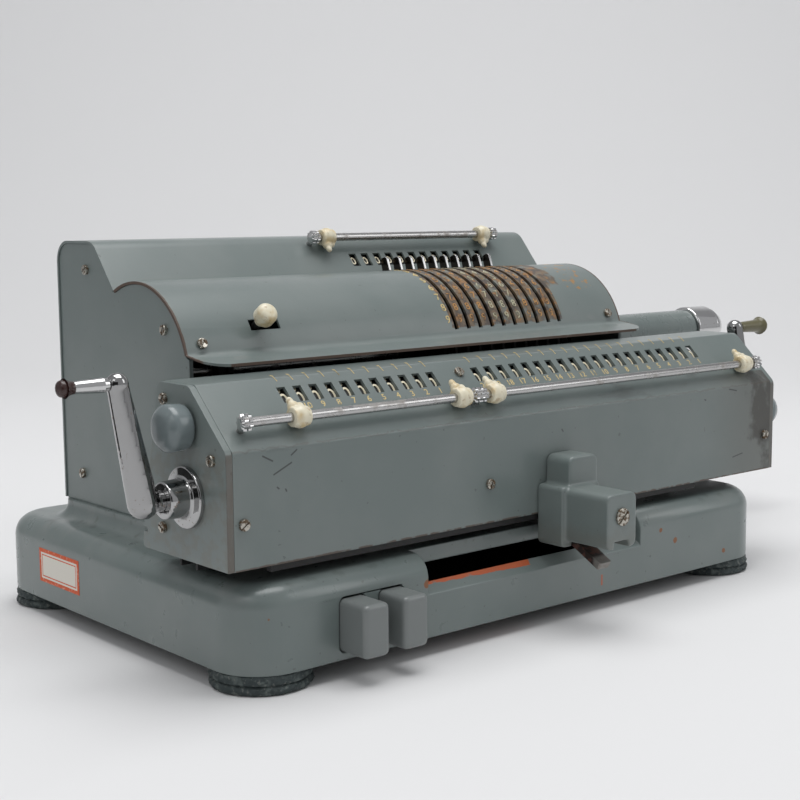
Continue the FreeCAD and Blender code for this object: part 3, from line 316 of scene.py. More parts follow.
def label_piece():
    finish = Finish("label paper", LABEL_PAPER, roughness=0.7)
    middle = ((LABEL["back"] + LABEL["front"]) / 2, (LABEL["low"] + LABEL["high"]) / 2)
    half = ((LABEL["back"] - LABEL["front"]) / 2, (LABEL["high"] - LABEL["low"]) / 2)
    inset = (half[0] - abs(finish.y - middle[0])) & (half[1] - abs(finish.z - middle[1]))
    border = finish.near(inset, 0, 1.7, 0.1) | finish.near(inset, 2.9, 0.22, 0.1)
    faded = finish.smooth(finish.noise(2, 3), 0.5, 0.7)
    finish.set(base_color=finish.mix(border * (1 - 0.35 * faded), LABEL_PAPER, LABEL_ORANGE))
    mesh = bmesh.new()
    bmesh.ops.create_cube(mesh, size=1)
    size = Matrix.Diagonal((LABEL["thick"] / 1000, 2 * half[0] / 1000, 2 * half[1] / 1000, 1))
    left = min(corner[0] for corner in frame["nodes"]["base_casting"].bound_box)
    place = Matrix.Translation((left - LABEL["thick"] / 2000, middle[0] / 1000, middle[1] / 1000))
    bmesh.ops.transform(mesh, matrix=place @ size, verts=mesh.verts)
    show(finished("paper_label", mesh, finish.material), "frame")


label_piece()


# --- Bottom plate and feet ------------------------------------------------------------------
# A black sheet closes the base. Each foot is a thick rubber disc that has swollen, cracked and
# crumbled with age; its two layers are still to be seen.

BLACK_SHEET = Finish("black bottom sheet", (0.02, 0.02, 0.02), roughness=0.6).material
dressed("bottom_plate", BLACK_SHEET)

FOOT = {"radius": 21.2, "crumble": 0.85, "around": 120, "x": (-137, 148.5), "y": (-79, 91)}
FOOT_PROFILE = [(0.0, 0.86), (0.25, 0.95), (0.9, 0.99), (2.0, 1.0), (3.2, 0.99), (3.7, 0.955),
                (3.9, 0.94), (4.1, 0.955), (4.6, 0.985), (5.6, 0.99), (6.6, 0.98), (7.4, 0.97),
                (8.0, 0.95)]


def old_rubber():
    finish = Finish("old rubber", (0.035, 0.05, 0.05), roughness=0.75)
    patches = finish.smooth(finish.noise(3.2, 6, seed=2.0), 0.48, 0.66)
    pale = finish.smooth(finish.noise(1.6, 4, seed=5.0), 0.58, 0.68)
    colour = finish.mix(patches, (0.030, 0.042, 0.043), (0.085, 0.105, 0.10))
    finish.set(base_color=finish.mix(pale * 0.6, colour, (0.17, 0.18, 0.165)),
               roughness=0.45 + 0.5 * finish.noise(2.4, 4, seed=8.0))
    finish.bump(finish.noise(1.5, 6), 0.8, 0.0006)
    return finish.material


def closed_tube(mesh, rings):
    """Joins rings of vertices, given from one end to the other, and closes both ends."""
    for low, high in zip(rings, rings[1:]):
        for k in range(len(low)):
            mesh.faces.new((low[k - 1], low[k], high[k], high[k - 1]))
    mesh.faces.new(rings[0][::-1])
    mesh.faces.new(rings[-1])


def crumbled_feet(material):
    """The four feet, turned from one profile of heights and shares of the radius, and roughened."""
    mesh = bmesh.new()
    for centre_x, centre_y in [(x, y) for y in FOOT["y"] for x in FOOT["x"]]:
        rings = []
        for height, share in FOOT_PROFILE:
            ring = []
            for k in range(FOOT["around"]):
                turn = 2 * math.pi * k / FOOT["around"]
                spot = Vector((centre_x + 20 * math.cos(turn), centre_y + 20 * math.sin(turn),
                               height * 3))
                rough = noise.noise(spot * 0.35) * 0.8 + noise.noise(spot * 0.9) * 0.6
                radius = FOOT["radius"] * share + FOOT["crumble"] * rough
                ring.append(mesh.verts.new(((centre_x + radius * math.cos(turn)) / 1000,
                                            (centre_y + radius * math.sin(turn)) / 1000,
                                            height / 1000)))
            rings.append(ring)
        closed_tube(mesh, rings)
    show(finished("rubber_feet", mesh, material, 50), "frame", "feet")


crumbled_feet(old_rubber())


# --- Carriage rail and inner front wall -----------------------------------------------------
# Both lie in the shadow below and behind the carriage: the rail is bright steel, and the wall is
# blackened steel kept near black as painted shade, like the other inner parts that use it.

# Near-black steel for the shaded inner parts: blackened metal whose colour also serves as painted
# shade.
DARK_STEEL = Finish("blackened steel and painted shade", (0.025, 0.025, 0.025), metallic=0.6, roughness=0.5).material


def bright_steel(name, colour=(0.50, 0.50, 0.49), rough=0.22):
    """Bright steel, dulled in patches and brown in places."""
    finish = Finish(name, colour, metallic=1.0, roughness=rough)
    dull = finish.smooth(finish.noise(6, 4, seed=4.0), 0.5, 0.75)
    finish.set(base_color=finish.mix(dull * 0.6, colour, (0.25, 0.22, 0.19)),
               roughness=rough + 0.2 * dull)
    return finish.material


STEEL = bright_steel("bright steel")
dressed("carriage_rail", STEEL)
dressed("front_plate", DARK_STEEL)


# --- Side plates ----------------------------------------------------------------------------
# Two flat sheets that stand on the base and carry the covers and the rods. Their enamel has no
# marks of its own.

SIDE = enamel("enamel of the side plates", None, 0.26)
for side_plate in ("left_side_plate", "right_side_plate"):
    dressed(side_plate, SIDE, edge=0.2)


# --- Drum cover -----------------------------------------------------------------------------
# Half-round sheet with ten setting slots. Between the slots the enamel has worn off to brown
# metal, the rims are dark, and specks of old gold lie to the right of the slots. Places on the
# cover are told by x and by the turn about the drum's axis, in degrees forward from the top.

DRUM = {"y": 12.0, "z": 116.0, "radius": 42.0}
FIRST_SLOT, LAST_SLOT, PITCH = 18.2, 90.2, 8.0
SLOTS_MIDDLE, SLOTS_HALF = (FIRST_SLOT + LAST_SLOT) / 2, (LAST_SLOT - FIRST_SLOT) / 2
COVER_END, FLANGE_EDGE = 136.0, -47.75
WORN = {"dark": (0.060, 0.045, 0.036), "light": (0.150, 0.105, 0.062),
        "rust": (0.24, 0.120, 0.040), "enamel": (0.145, 0.16, 0.145)}
OLD_GOLD = (0.30, 0.17, 0.06)


def drum_marks(finish, colour):
    x = finish.x
    turn = x.math("ARCTAN2", DRUM["y"] - finish.y, finish.z - DRUM["z"]) * math.degrees(1)
    fine = finish.noise(4, 6, seed=21.0)
    broad = finish.noise(13, 4, seed=24.0)
    field = finish.near(x, SLOTS_MIDDLE, SLOTS_HALF + 2.5, 1.5) & finish.near(turn, 22, 46, 4)
    edge_right = finish.near(x, 97, 4, 8) & finish.near(turn, 0, 34, 24)
    low_end = finish.smooth(turn, 24, 64)
    worn = finish.smooth(field * 0.62 + edge_right * 0.40 + broad * 0.42 + fine * 0.32
                         - low_end * 0.30, 0.58, 0.70)
    rust = finish.smooth(finish.noise(4, 4, seed=31.0), 0.56, 0.66)
    spared = finish.smooth(finish.noise(6, 5, seed=37.0), 0.52, 0.64)
    tint = finish.mix(finish.smooth(fine, 0.42, 0.60), WORN["dark"], WORN["light"])
    tint = finish.mix(rust, tint, WORN["rust"])
    tint = finish.mix(spared * 0.8, tint, WORN["enamel"])
    colour = finish.mix(worn, colour, tint)
    gold = finish.near(x, 117, 9, 3) & finish.near(turn, 22, 22, 6)
    gold = finish.smooth(gold * 0.5 + finish.noise(3.6, 5, seed=41.0), 1.05, 1.12)
    colour = finish.mix(gold, colour, OLD_GOLD)
    ends = finish.smooth(abs(x) + 0.9 * fine, COVER_END, COVER_END + 0.4)
    rim = ends | finish.smooth(0.4 * fine - finish.y, -FLANGE_EDGE, -FLANGE_EDGE + 0.2)
    colour = finish.mix(rim, colour, BROWN)
    stain = finish.smooth(finish.noise(9, 4, (0.5, 1, 1), 44.0), 0.62, 0.72)
    stain = stain & finish.smooth(turn, 60, 80)
    return finish.mix(stain * 0.5, colour, DUST), worn | rim


dressed("drum_cover", enamel("enamel of the drum cover", drum_marks), edge=0)


# --- Setting numerals -----------------------------------------------------------------------
# Painted digits 0 to 9 beside each slot: gold ones left of the first, worn ones on the strips
# between the slots. One rule sets any row of painted signs out along X and round an arc.

TICK = [(0.22, -0.62), (0.34, -0.60), (0.02, 0.52), (-0.42, 0.66), (-0.44, 0.56), (-0.06, 0.42)]


def glyphs(signs, size):
    """Collection of flat signs, each a thin closed plate about its own middle."""
    group = bpy.data.collections.new("signs")
    for count, sign in enumerate(signs):
        if sign == "tick":
            mesh = bmesh.new()
            face = mesh.faces.new([mesh.verts.new((u * size, v * size, 0)) for u, v in TICK])
            solid = bmesh.ops.extrude_face_region(mesh, geom=[face])
            raised = [v for v in solid["geom"] if isinstance(v, bmesh.types.BMVert)]
            bmesh.ops.translate(mesh, vec=(0, 0, 0.05 * size), verts=raised)
            bmesh.ops.recalc_face_normals(mesh, faces=mesh.faces)
            data = bpy.data.meshes.new("sign")
            mesh.to_mesh(data)
            mesh.free()
        else:
            text = bpy.data.curves.new("sign", "FONT")
            text.body = sign
            text.align_x = "CENTER"
            text.align_y = "CENTER"
            text.size = size
            text.extrude = 0.02 * size
            text.resolution_u = 3
            letter = bpy.data.objects.new("sign", text)
            data = bpy.data.meshes.new_from_object(letter)
            bpy.data.objects.remove(letter)
            bpy.data.curves.remove(text)
        group.objects.link(bpy.data.objects.new(f"sign {count:02d}", data))
    return group


def sign_rule():
    """Places sign i at column i // rows along X and at row i % rows round an arc about X."""
    rule = bpy.data.node_groups.new("signs in rows", "GeometryNodeTree")
    kinds = {"Columns": "NodeSocketInt", "Rows": "NodeSocketInt", "Pitch": "NodeSocketFloat",
             "Radius": "NodeSocketFloat", "First Angle": "NodeSocketFloat",
             "Angle Step": "NodeSocketFloat", "Signs": "NodeSocketCollection",
             "Count": "NodeSocketInt", "Material": "NodeSocketMaterial"}
    for label, kind in kinds.items():
        rule.interface.new_socket(label, in_out="INPUT", socket_type=kind)
    rule.interface.new_socket("Geometry", in_out="OUTPUT", socket_type="NodeSocketGeometry")
    tree = Tree(rule)
    inputs = tree.nodes.new("NodeGroupInput")
    given = {label: Value(tree, inputs.outputs[label]) for label in kinds}
    index = tree.add("GeometryNodeInputIndex", {}, {})
    row = index % given["Rows"]
    column = (index / given["Rows"]).math("FLOOR", index / given["Rows"])
    angle = given["First Angle"] + row * given["Angle Step"]
    back = -1 * given["Radius"] * angle.math("SINE", angle)
    height = given["Radius"] * angle.math("COSINE", angle)
    spot = tree.add("ShaderNodeCombineXYZ", {}, {0: column * given["Pitch"], 1: back, 2: height})
    lean = tree.add("ShaderNodeCombineXYZ", {}, {0: angle})
    line = tree.add("GeometryNodeMeshLine", {}, {"Count": given["Columns"] * given["Rows"]})
    points = tree.add("GeometryNodeSetPosition", {}, {"Geometry": line, "Position": spot})
    letters = tree.add("GeometryNodeCollectionInfo", {},
                       {"Collection": given["Signs"], "Separate Children": True,
                        "Reset Children": True})
    placed = tree.add("GeometryNodeInstanceOnPoints", {},
                      {"Points": points, "Instance": letters, "Pick Instance": True,
                       "Instance Index": index % given["Count"], "Rotation": lean})
    whole = tree.add("GeometryNodeRealizeInstances", {}, {"Geometry": placed})
    painted = tree.add("GeometryNodeSetMaterial", {},
                       {"Geometry": whole, "Material": given["Material"]})
    tree.links.new(painted.socket, tree.nodes.new("NodeGroupOutput").inputs[0])
    return rule


SIGN_RULE = sign_rule()


def baked(carrier):
    """Mesh of an object as its modifiers leave it."""
    ready = carrier.evaluated_get(bpy.context.evaluated_depsgraph_get())
    return bpy.data.meshes.new_from_object(ready)


def signs(name, marks, size, columns, place, material, rows=1, radius=0, first=0, step=0, lean=0):
    """Bakes columns of signs, one slot apart, about a place: flat, or in rows round an arc."""
    group = glyphs(marks, size / 1000)
    carrier = bpy.data.objects.new(name, bpy.data.meshes.new(name))
    bpy.context.scene.collection.objects.link(carrier)
    modifier = carrier.modifiers.new("signs", "NODES")
    modifier.node_group = SIGN_RULE
    values = {"Columns": columns, "Rows": rows, "Pitch": PITCH / 1000, "Radius": radius / 1000,
              "First Angle": math.radians(first), "Angle Step": math.radians(step), "Signs": group,
              "Count": len(marks), "Material": material}
    for item in SIGN_RULE.interface.items_tree:
        if item.in_out == "INPUT":
            modifier[item.identifier] = values[item.name]
    data = baked(carrier)
    carrier.modifiers.clear()
    data.transform(Matrix.Translation([v / 1000 for v in place])
                   @ Matrix.Rotation(math.radians(lean), 4, "X"))
    mesh = bmesh.new()
    mesh.from_mesh(data)
    bmesh.ops.remove_doubles(mesh, verts=mesh.verts, dist=0.000004)
    mesh.to_mesh(data)
    mesh.free()
    carrier.data = data
    for sign in list(group.objects):
        bpy.data.objects.remove(sign)
    bpy.data.collections.remove(group)
    return carrier


def paint(name, colour, lost=0.55):
    """Old paint of a sign, darkened where it has rubbed away."""
    finish = Finish(name, colour, roughness=0.5)
    gone = finish.smooth(finish.noise(3.5, 4, seed=51.0), lost, lost + 0.1)
    finish.set(base_color=finish.mix(gone, colour, tuple(0.4 * c for c in colour)))
    return finish.material


DIGITS = [str(k) for k in range(10)]
GOLD_PAINT = paint("gold paint", (0.60, 0.46, 0.20), 0.60)
ORANGE_PAINT = paint("worn orange paint", (0.42, 0.21, 0.06), 0.50)
PALE_PAINT = paint("worn pale paint", (0.42, 0.40, 0.27), 0.50)
SURFACE = DRUM["radius"] + 0.02
FIRST_STRIP = FIRST_SLOT - PITCH / 2
STRIPS = [("gold_numerals", 0, 1, GOLD_PAINT), ("left_strip_numerals", 1, 3, ORANGE_PAINT),
          ("middle_strip_numerals", 4, 3, PALE_PAINT), ("right_strip_numerals", 7, 3, ORANGE_PAINT)]
for name, first, columns, material in STRIPS:
    numerals = signs(name, DIGITS, 5.8, columns,
                     (FIRST_STRIP + first * PITCH, DRUM["y"], DRUM["z"]), material,
                     rows=10, radius=SURFACE, first=-18, step=9)
    show(numerals, "frame")


# --- Rear cover and check wheels ------------------------------------------------------------
# The hump behind the drum has twelve small windows over black wheels with white digits, which
# all stand at 0. The wheels' axis and radius come from the box of their CAD node.

dressed("rear_cover", enamel("enamel of the rear cover"), edge=0)

DIAL_BLACK = Finish("black of the dials", (0.010, 0.010, 0.010), roughness=0.55).material
DIAL_WHITE = paint("white of the dials", (0.85, 0.78, 0.58), 0.9)
dressed("check_wheels", DIAL_BLACK, edge=0)


def box_of(node):
    """Corners of a CAD node's box in mm: 0 is the lowest, and 1, 2, 4 lie along Z, Y, X from it."""
    return [Vector(corner) * 1000 for corner in frame["nodes"][node].bound_box]


wheel_box = box_of("check_wheels")
CHECK = {"y": (wheel_box[0].y + wheel_box[2].y) / 2, "z": (wheel_box[0].z + wheel_box[1].z) / 2,
         "radius": (wheel_box[1].z - wheel_box[0].z) / 2, "lean": 48.2}
CHECK_WHEELS, LAST_CHECK, DIGIT_SHIFT = 12, LAST_SLOT + 6, 0.3
first_check = LAST_CHECK - (CHECK_WHEELS - 1) * PITCH + DIGIT_SHIFT
check_digits = signs("check_digits", ["0"], 6.5, CHECK_WHEELS,
                     (first_check, CHECK["y"], CHECK["z"]), DIAL_WHITE,
                     rows=8, radius=CHECK["radius"], first=CHECK["lean"], step=45)
show(check_digits, "frame")


# --- Rods, bearing and screws of the body ---------------------------------------------------
# Bright cross rods between the side plates and a brass bearing for the drum. The screws are
# slotted, with brown dirt in and round their heads.

BRASS = Finish("brass", (0.55, 0.40, 0.18), metallic=1.0, roughness=0.3).material
dressed("frame_rods", STEEL, edge=0)
dressed("drum_bearing", BRASS)


def screw_metal():
    clean = (0.45, 0.43, 0.38)
    finish = Finish("dirty screw steel", clean)
    dirt = finish.smooth(finish.noise(1.6, 4, seed=61.0), 0.45, 0.6)
    finish.set(base_color=finish.mix(dirt, clean, (0.10, 0.065, 0.035)),
               metallic=1 - 0.7 * dirt, roughness=0.22 + 0.35 * dirt)
    return finish.material


SCREW = screw_metal()
HEAD_SHARE = 0.74


def small_heads(mesh):
    """Narrows each screw head about its own axis, which is the normal of its largest face."""
    seen = set()
    for start in mesh.verts:
        head, reached = [], [start]
        while reached:
            vertex = reached.pop()
            if vertex not in seen:
                seen.add(vertex)
                head.append(vertex)
                reached += [link.other_vert(vertex) for link in vertex.link_edges]
        if not head:
            continue
        faces = [face for vertex in head for face in vertex.link_faces]
        axis = max(faces, key=lambda face: face.calc_area()).normal.copy()
        middle = sum((vertex.co for vertex in head), Vector()) / len(head)
        for vertex in head:
            off = vertex.co - middle
            along = axis * off.dot(axis)
            vertex.co = middle + along + (off - along) * HEAD_SHARE


dressed("body_screws", SCREW, edge=0.12, reshape=small_heads)


# --- Main crank -----------------------------------------------------------------------------
# An enamelled tube on the right, a chromed hub and arm, and a dark grip that spins on its pin.
# Cast and forged pieces get an even skin grown over the CAD form, which softens every edge.

dressed("crank_tube", enamel("enamel of the crank tube", None, 0.2), edge=0.2)
dressed("drum_shaft", STEEL)


def chrome(name, pitted=0.0, grey=0.62):
    """Polished chrome; pitted is how much of it is dull and speckled."""
    finish = Finish(name, (grey, grey, grey), metallic=1.0)
    specks = finish.smooth(finish.noise(1.3, 4, seed=71.0), 0.60, 0.68)
    patch = finish.smooth(finish.noise(7, 3, seed=72.0), 0.50, 0.62)
    dull = specks & patch
    finish.set(base_color=finish.mix(dull * pitted, (grey, grey, grey), (0.20, 0.15, 0.12)),
               roughness=0.06 + 0.3 * pitted * dull)
    return finish.material


def grow_skin(carrier, grain, share, passes):
    """Adds a skin of cubes of this size in millimetres, smoothed by a share in some passes."""
    skin = carrier.modifiers.new("skin", "REMESH")
    skin.mode = "VOXEL"
    skin.voxel_size = grain / 1000
    soft = carrier.modifiers.new("soft", "SMOOTH")
    soft.factor = share
    soft.iterations = passes


def cast(node, material, grain, passes, reshape=None):
    """Shows a CAD node as a casting, with a skin grown over its form."""
    solid = frame["nodes"][node]
    mesh = bmesh.new()
    mesh.from_mesh(solid.data)
    if reshape:
        reshape(mesh)
    carrier = finished("form", mesh, material)
    grow_skin(carrier, grain, 0.5, passes)
    data = baked(carrier)
    bpy.data.objects.remove(carrier)
    data.polygons.foreach_set("use_smooth", [True] * len(data.polygons))
    return show(bpy.data.objects.new(node + "_finished", data), solid["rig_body"], node)


CHROME = chrome("chrome", 0.35)
DARK_GRIP = Finish("dark grip", (0.018, 0.011, 0.009), roughness=0.18).material
dressed("crank_hub", CHROME, edge=0.2)
cast("crank_arm", CHROME, 0.5, 14)
dressed("crank_grip", DARK_GRIP, edge=0.2)


# --- Pinwheels, setting levers and change lever ---------------------------------------------
# Each lever is a dark ring on its pinwheel. Only its tab, outside the cover, is chromed, and the
# tab's flat sides, which face along X, are darkened to brown as painted shade. The change lever
# carries a yellowed ivory knob.

dressed("pinwheel_drum", DARK_STEEL, edge=0)
CHROME_FROM = {"none": 42.6, "full": 43.4}


def lever_metal():
    finish = Finish("lever chrome and blackened ring", (0.42, 0.42, 0.42))
    y, z = finish.y - DRUM["y"], finish.z - DRUM["z"]
    outside = finish.smooth(y * y + z * z, CHROME_FROM["none"] ** 2, CHROME_FROM["full"] ** 2)
    # Faces of the tab that look along X are darkened: painted shade on its flat sides.
    flat = finish.smooth(abs(finish.normal("X")), 0.85, 0.95)
    tab = finish.mix(flat, (0.42, 0.42, 0.42), (0.06, 0.05, 0.045))
    finish.set(base_color=finish.mix(outside, (0.018, 0.015, 0.014), tab),
               metallic=0.2 + 0.8 * outside, roughness=0.5 - 0.36 * outside)
    return finish.material


TAB = {"root": 44.0, "tip": 56.0, "seen": 50.6}
TAB_SHARE = (TAB["seen"] - TAB["root"]) / (TAB["tip"] - TAB["root"])


def short_tab(mesh):
    """Draws a lever's tab in towards the drum, so that it stands as low as in the photograph."""
    for vertex in mesh.verts:
        out = Vector((0, vertex.co.y - DRUM["y"] / 1000, vertex.co.z - DRUM["z"] / 1000))
        past_root = out.length * 1000 - TAB["root"]
        if past_root > 0:
            vertex.co += out.normalized() * past_root * (TAB_SHARE - 1) / 1000


LEVER = lever_metal()
for k in range(1, 11):
    dressed(f"setting_lever_{k}", LEVER, edge=0.3, reshape=short_tab)
dressed("change_lever", DARK_STEEL, edge=0.1)


def ivory(name):
    """Yellowed casein: cream, with brown seams of dirt."""
    finish = Finish(name, (0.66, 0.60, 0.44), roughness=0.32)
    cloud = finish.smooth(finish.noise(6, 3, seed=81.0), 0.45, 0.68)
    seam = finish.smooth(finish.noise(2.5, 5, seed=83.0), 0.60, 0.68)
    colour = finish.mix(cloud, (0.70, 0.65, 0.50), (0.58, 0.46, 0.26))
    finish.set(base_color=finish.mix(seam * 0.5, colour, (0.32, 0.20, 0.09)))
    return finish.material


IVORY = ivory("yellowed ivory plastic")


CHANGE_KNOB = {"tilt": 57, "length": 0.78, "width": 0.86}


def slim_knob(mesh):
    """Shortens and narrows the knob about its own axis, with its foot kept at the cover."""
    low = min(mesh.verts, key=lambda vertex: math.hypot(vertex.co.y * 1000 - DRUM["y"],
                                                        vertex.co.z * 1000 - DRUM["z"])).co.copy()
    tilt = math.radians(CHANGE_KNOB["tilt"])
    axis = Vector((0, -math.sin(tilt), math.cos(tilt)))
    foot = Vector((sum(v.co.x for v in mesh.verts) / len(mesh.verts), low.y, low.z))
    for vertex in mesh.verts:
        off = vertex.co - foot
        along = axis * off.dot(axis)
        vertex.co = foot + along * CHANGE_KNOB["length"] + (off - along) * CHANGE_KNOB["width"]


dressed("change_knob", IVORY, edge=0.3, reshape=slim_knob)


# --- Carriage cover, ends and inner frame ---------------------------------------------------
# Bent sheet with two rows of windows. Its right front end is rubbed dark, the front is
# scratched, and brown metal shows along its edges.

CARRIAGE = {"middle": 11.25, "half": 172.2, "low": 51.5, "bend": 98.8}
SCRATCHES = [(-139.5, 86.8, -131, 90.6), (-144.6, 94.6, -140, 92.2), (-131, 93.6, -128.4, 95.4),
             (-134, 80.4, -133.6, 79.6), (-138, 81.6, -137.2, 81.0), (150, 60.4, 158, 61.6),
             (146, 96, 152, 94.8), (22, 88, 22.8, 87), (126, 92.4, 127, 92)]


def carriage_marks(finish, colour):
    x, y, z = finish.x, finish.y, finish.z
    ragged = finish.noise(4, 5, seed=91.0)
    broad = finish.noise(12, 4, (1, 1, 0.6), 92.0)
    rubbed = (finish.smooth(x, 140, 176) * 0.42 + finish.near(z, 84, 10, 14) * 0.16
              + broad * 0.38 + ragged * 0.25)
    dark = finish.smooth(rubbed, 0.72, 0.86) & finish.smooth(x, 140, 160) & (y < -88)
    dull = finish.smooth(x, 120, 170) & (y < -88)
    colour = finish.mix(dull * 0.45, colour, (0.115, 0.105, 0.090))
    colour = finish.mix(dark * 0.75, colour, (0.040, 0.035, 0.030))
    low = finish.smooth(CARRIAGE["low"] - z + 1.3 * ragged, 0.3, 0.8)
    bend = finish.near(z + 3 * ragged, CARRIAGE["bend"], 0.2, 0.3)
    end = finish.smooth(abs(x - CARRIAGE["middle"]) - CARRIAGE["half"] + 0.9 * ragged, 0.3, 0.6)
    bare = (low | bend * 0.3 | end * 0.5) & finish.smooth(ragged, 0.36, 0.5)
    colour = finish.mix(bare * 0.85, colour, BROWN)
    lines = finish.scratches(SCRATCHES) & (y < -93.5)
    colour = finish.mix(lines * 0.85, colour, (0.035, 0.035, 0.035))
    grime = finish.smooth(finish.noise(8, 4, (0.3, 1, 1), 95.0), 0.55, 0.72)
    grime = grime & finish.near(z, 101, 3, 3)
    return finish.mix(grime * 0.5, colour, (0.07, 0.075, 0.072)), dark | bare


def end_marks(finish, colour):
    ragged = finish.noise(5, 4, seed=97.0)
    stain = finish.smooth(96 - finish.z + 8 * ragged, 0, 12) & finish.smooth(ragged, 0.4, 0.6)
    front = finish.smooth(-93.6 - finish.y + 0.8 * ragged, 0.3, 0.6) * 0.5
    colour = finish.mix(stain * 0.35, colour, (0.13, 0.115, 0.09))
    return finish.mix(front, colour, BROWN), front


dressed("carriage_cover", enamel("enamel of the carriage", carriage_marks, 0.27), edge=0)
CARRIAGE_END = enamel("enamel of the carriage ends", end_marks, 0.24)
for side in ("left", "right"):
    dressed(f"carriage_{side}_end", CARRIAGE_END, edge=0.25)
dressed("carriage_frame", DARK_STEEL, edge=0)
dressed("lower_rail", DARK_STEEL, edge=0.15)


# --- Dials and printed marks of the carriage ------------------------------------------------
# Black dials with white digits behind the windows, gold ticks above the windows and gold place
# numbers below them. All are placed by how far up the cover's slope they lie.

SLOPE = {"low": (box_of("carriage_cover")[0].y, 97.2), "run": 25.2, "rise": 23.9}
SLOPE_LEAN = math.atan2(SLOPE["rise"], SLOPE["run"])
COUNTER = {"first": -120.5, "count": 11}
RESULT = {"first": -13.8, "count": 20}


def on_slope(up, out=0.0):
    """Point (y, z) up the slope and out from its surface."""
    return (SLOPE["low"][0] + up * math.cos(SLOPE_LEAN) - out * math.sin(SLOPE_LEAN),
            SLOPE["low"][1] + up * math.sin(SLOPE_LEAN) + out * math.cos(SLOPE_LEAN))


DIAL_RADIUS, COVER_SHEET, DIAL_GAP = 11.5, 1.5, 0.5
DIAL_AXIS = on_slope(25.4, -(COVER_SHEET + DIAL_GAP + DIAL_RADIUS))
LEAN = math.degrees(SLOPE_LEAN)
for label, row in (("counter", COUNTER), ("result", RESULT)):
    dressed(f"{label}_dials", DIAL_BLACK, edge=0)
    digits = signs(f"{label}_dial_digits", DIGITS, 9.4, row["count"],
                   (row["first"] + 0.2, *DIAL_AXIS), DIAL_WHITE,
                   rows=10, radius=DIAL_RADIUS + 0.01, first=LEAN + 9, step=36)
    show(digits, f"{label}_register")
    places = [str(row["count"] - k) for k in range(row["count"])]
    for kind, marks, size, shift, up in (("ticks", ["tick"], 2.7, -0.6, 34.3),
                                         ("place_numbers", places, 4.4, 0, 18.6)):
        printed = signs(f"{label}_{kind}", marks, size, row["count"],
                        (row["first"] + shift, *on_slope(up, -0.02)), GOLD_PAINT, lean=LEAN)
        show(printed, "carriage")
for label in ("counter", "result"):
    dressed(f"{label}_shaft", STEEL, edge=0.1)


# --- Marker rods and ivory pointers ---------------------------------------------------------
# Bright rods with knurled ends carry the pointers: a barrel with two knuckles that end in a
# beak, moulded in yellowed plastic. All six share one mesh, turned to its own rod.

ROD = bright_steel("bright rod", (0.46, 0.455, 0.45), 0.24)
dressed("marker_rods", ROD, edge=0.1)
dressed("rear_marker_rod", ROD, edge=0.1)

KNURL = {"radius": 3.1, "depth": 0.45, "flutes": 9, "length": 5.0}
KNURL_PROFILE = [(0.0, 0.62), (0.12, 0.95), (0.42, 1.0), (0.50, 0.72), (0.58, 1.0), (0.88, 0.95),
                 (1.0, 0.62)]
FRONT_ROD = on_slope(10, 5)


def knurled_nuts(name, body, ends, axis):
    """Fluted nuts on the ends of a rod, each with a waist between its flutes."""
    mesh = bmesh.new()
    steps = KNURL["flutes"] * 8
    for middle in ends:
        rings = []
        for share, width in KNURL_PROFILE:
            ring = []
            for k in range(steps):
                turn = 2 * math.pi * k / steps
                flute = KNURL["depth"] * math.cos(KNURL["flutes"] * turn) * (width > 0.9)
                radius = KNURL["radius"] * width + flute
                ring.append(mesh.verts.new(((middle + (share - 0.5) * KNURL["length"]) / 1000,
                                            (axis[0] + radius * math.cos(turn)) / 1000,
                                            (axis[1] + radius * math.sin(turn)) / 1000)))
            rings.append(ring)
        closed_tube(mesh, rings)
    bmesh.ops.recalc_face_normals(mesh, faces=mesh.faces)
    show(finished(name, mesh, CHROME, 40), body)


REAR_END = 2.9
rear_box = box_of("rear_marker_rod")
REAR_ROD = (rear_box[0].y + REAR_END, rear_box[1].z - REAR_END)
knurled_nuts("front_rod_nuts", "carriage", (-150, -28.5, -25.5, 172.1), FRONT_ROD)
knurled_nuts("rear_rod_nuts", "frame", (-15.8, 108.2), REAR_ROD)


BARREL = {"radius": 4.0, "length": 7.8, "bore": 2.06}
BALLS = [((0, 0, 0), 4.75, (0.92, 1, 1)), ((-1.2, 4.4, 0.4), 2.5, (1, 1, 0.9)),
         ((-1.6, 7.0, 0.2), 1.75, (0.9, 1.2, 0.8)), ((1.5, 3.9, 0.6), 2.0, (1, 1, 0.9))]


def rod_along_x(mesh, radius, length, segments):
    bmesh.ops.create_cone(mesh, cap_ends=True, segments=segments, radius1=radius / 1000,
                          radius2=radius / 1000, depth=length / 1000,
                          matrix=Matrix.Rotation(math.pi / 2, 4, "Y"))


def pointer_mesh():
    """Barrel, knuckles and a beak along +Y, grown together and bored for the rod along X."""
    mesh = bmesh.new()
    rod_along_x(mesh, BARREL["radius"], BARREL["length"], 40)
    for spot, radius, stretch in BALLS:
        place = Matrix.Translation([v / 1000 for v in spot]) @ Matrix.Diagonal((*stretch, 1))
        bmesh.ops.create_uvsphere(mesh, u_segments=32, v_segments=20, radius=radius / 1000,
                                  matrix=place)
    carrier = finished("pointer form", mesh, IVORY)
    grow_skin(carrier, 0.28, 0.6, 8)
    drill = bmesh.new()
    rod_along_x(drill, BARREL["bore"], 20, 48)
    bore = finished("bore", drill, IVORY)
    cut = carrier.modifiers.new("bore", "BOOLEAN")
    cut.operation = "DIFFERENCE"
    cut.object = bore
    data = baked(carrier)
    bpy.data.objects.remove(carrier)
    bpy.data.objects.remove(bore)
    return data


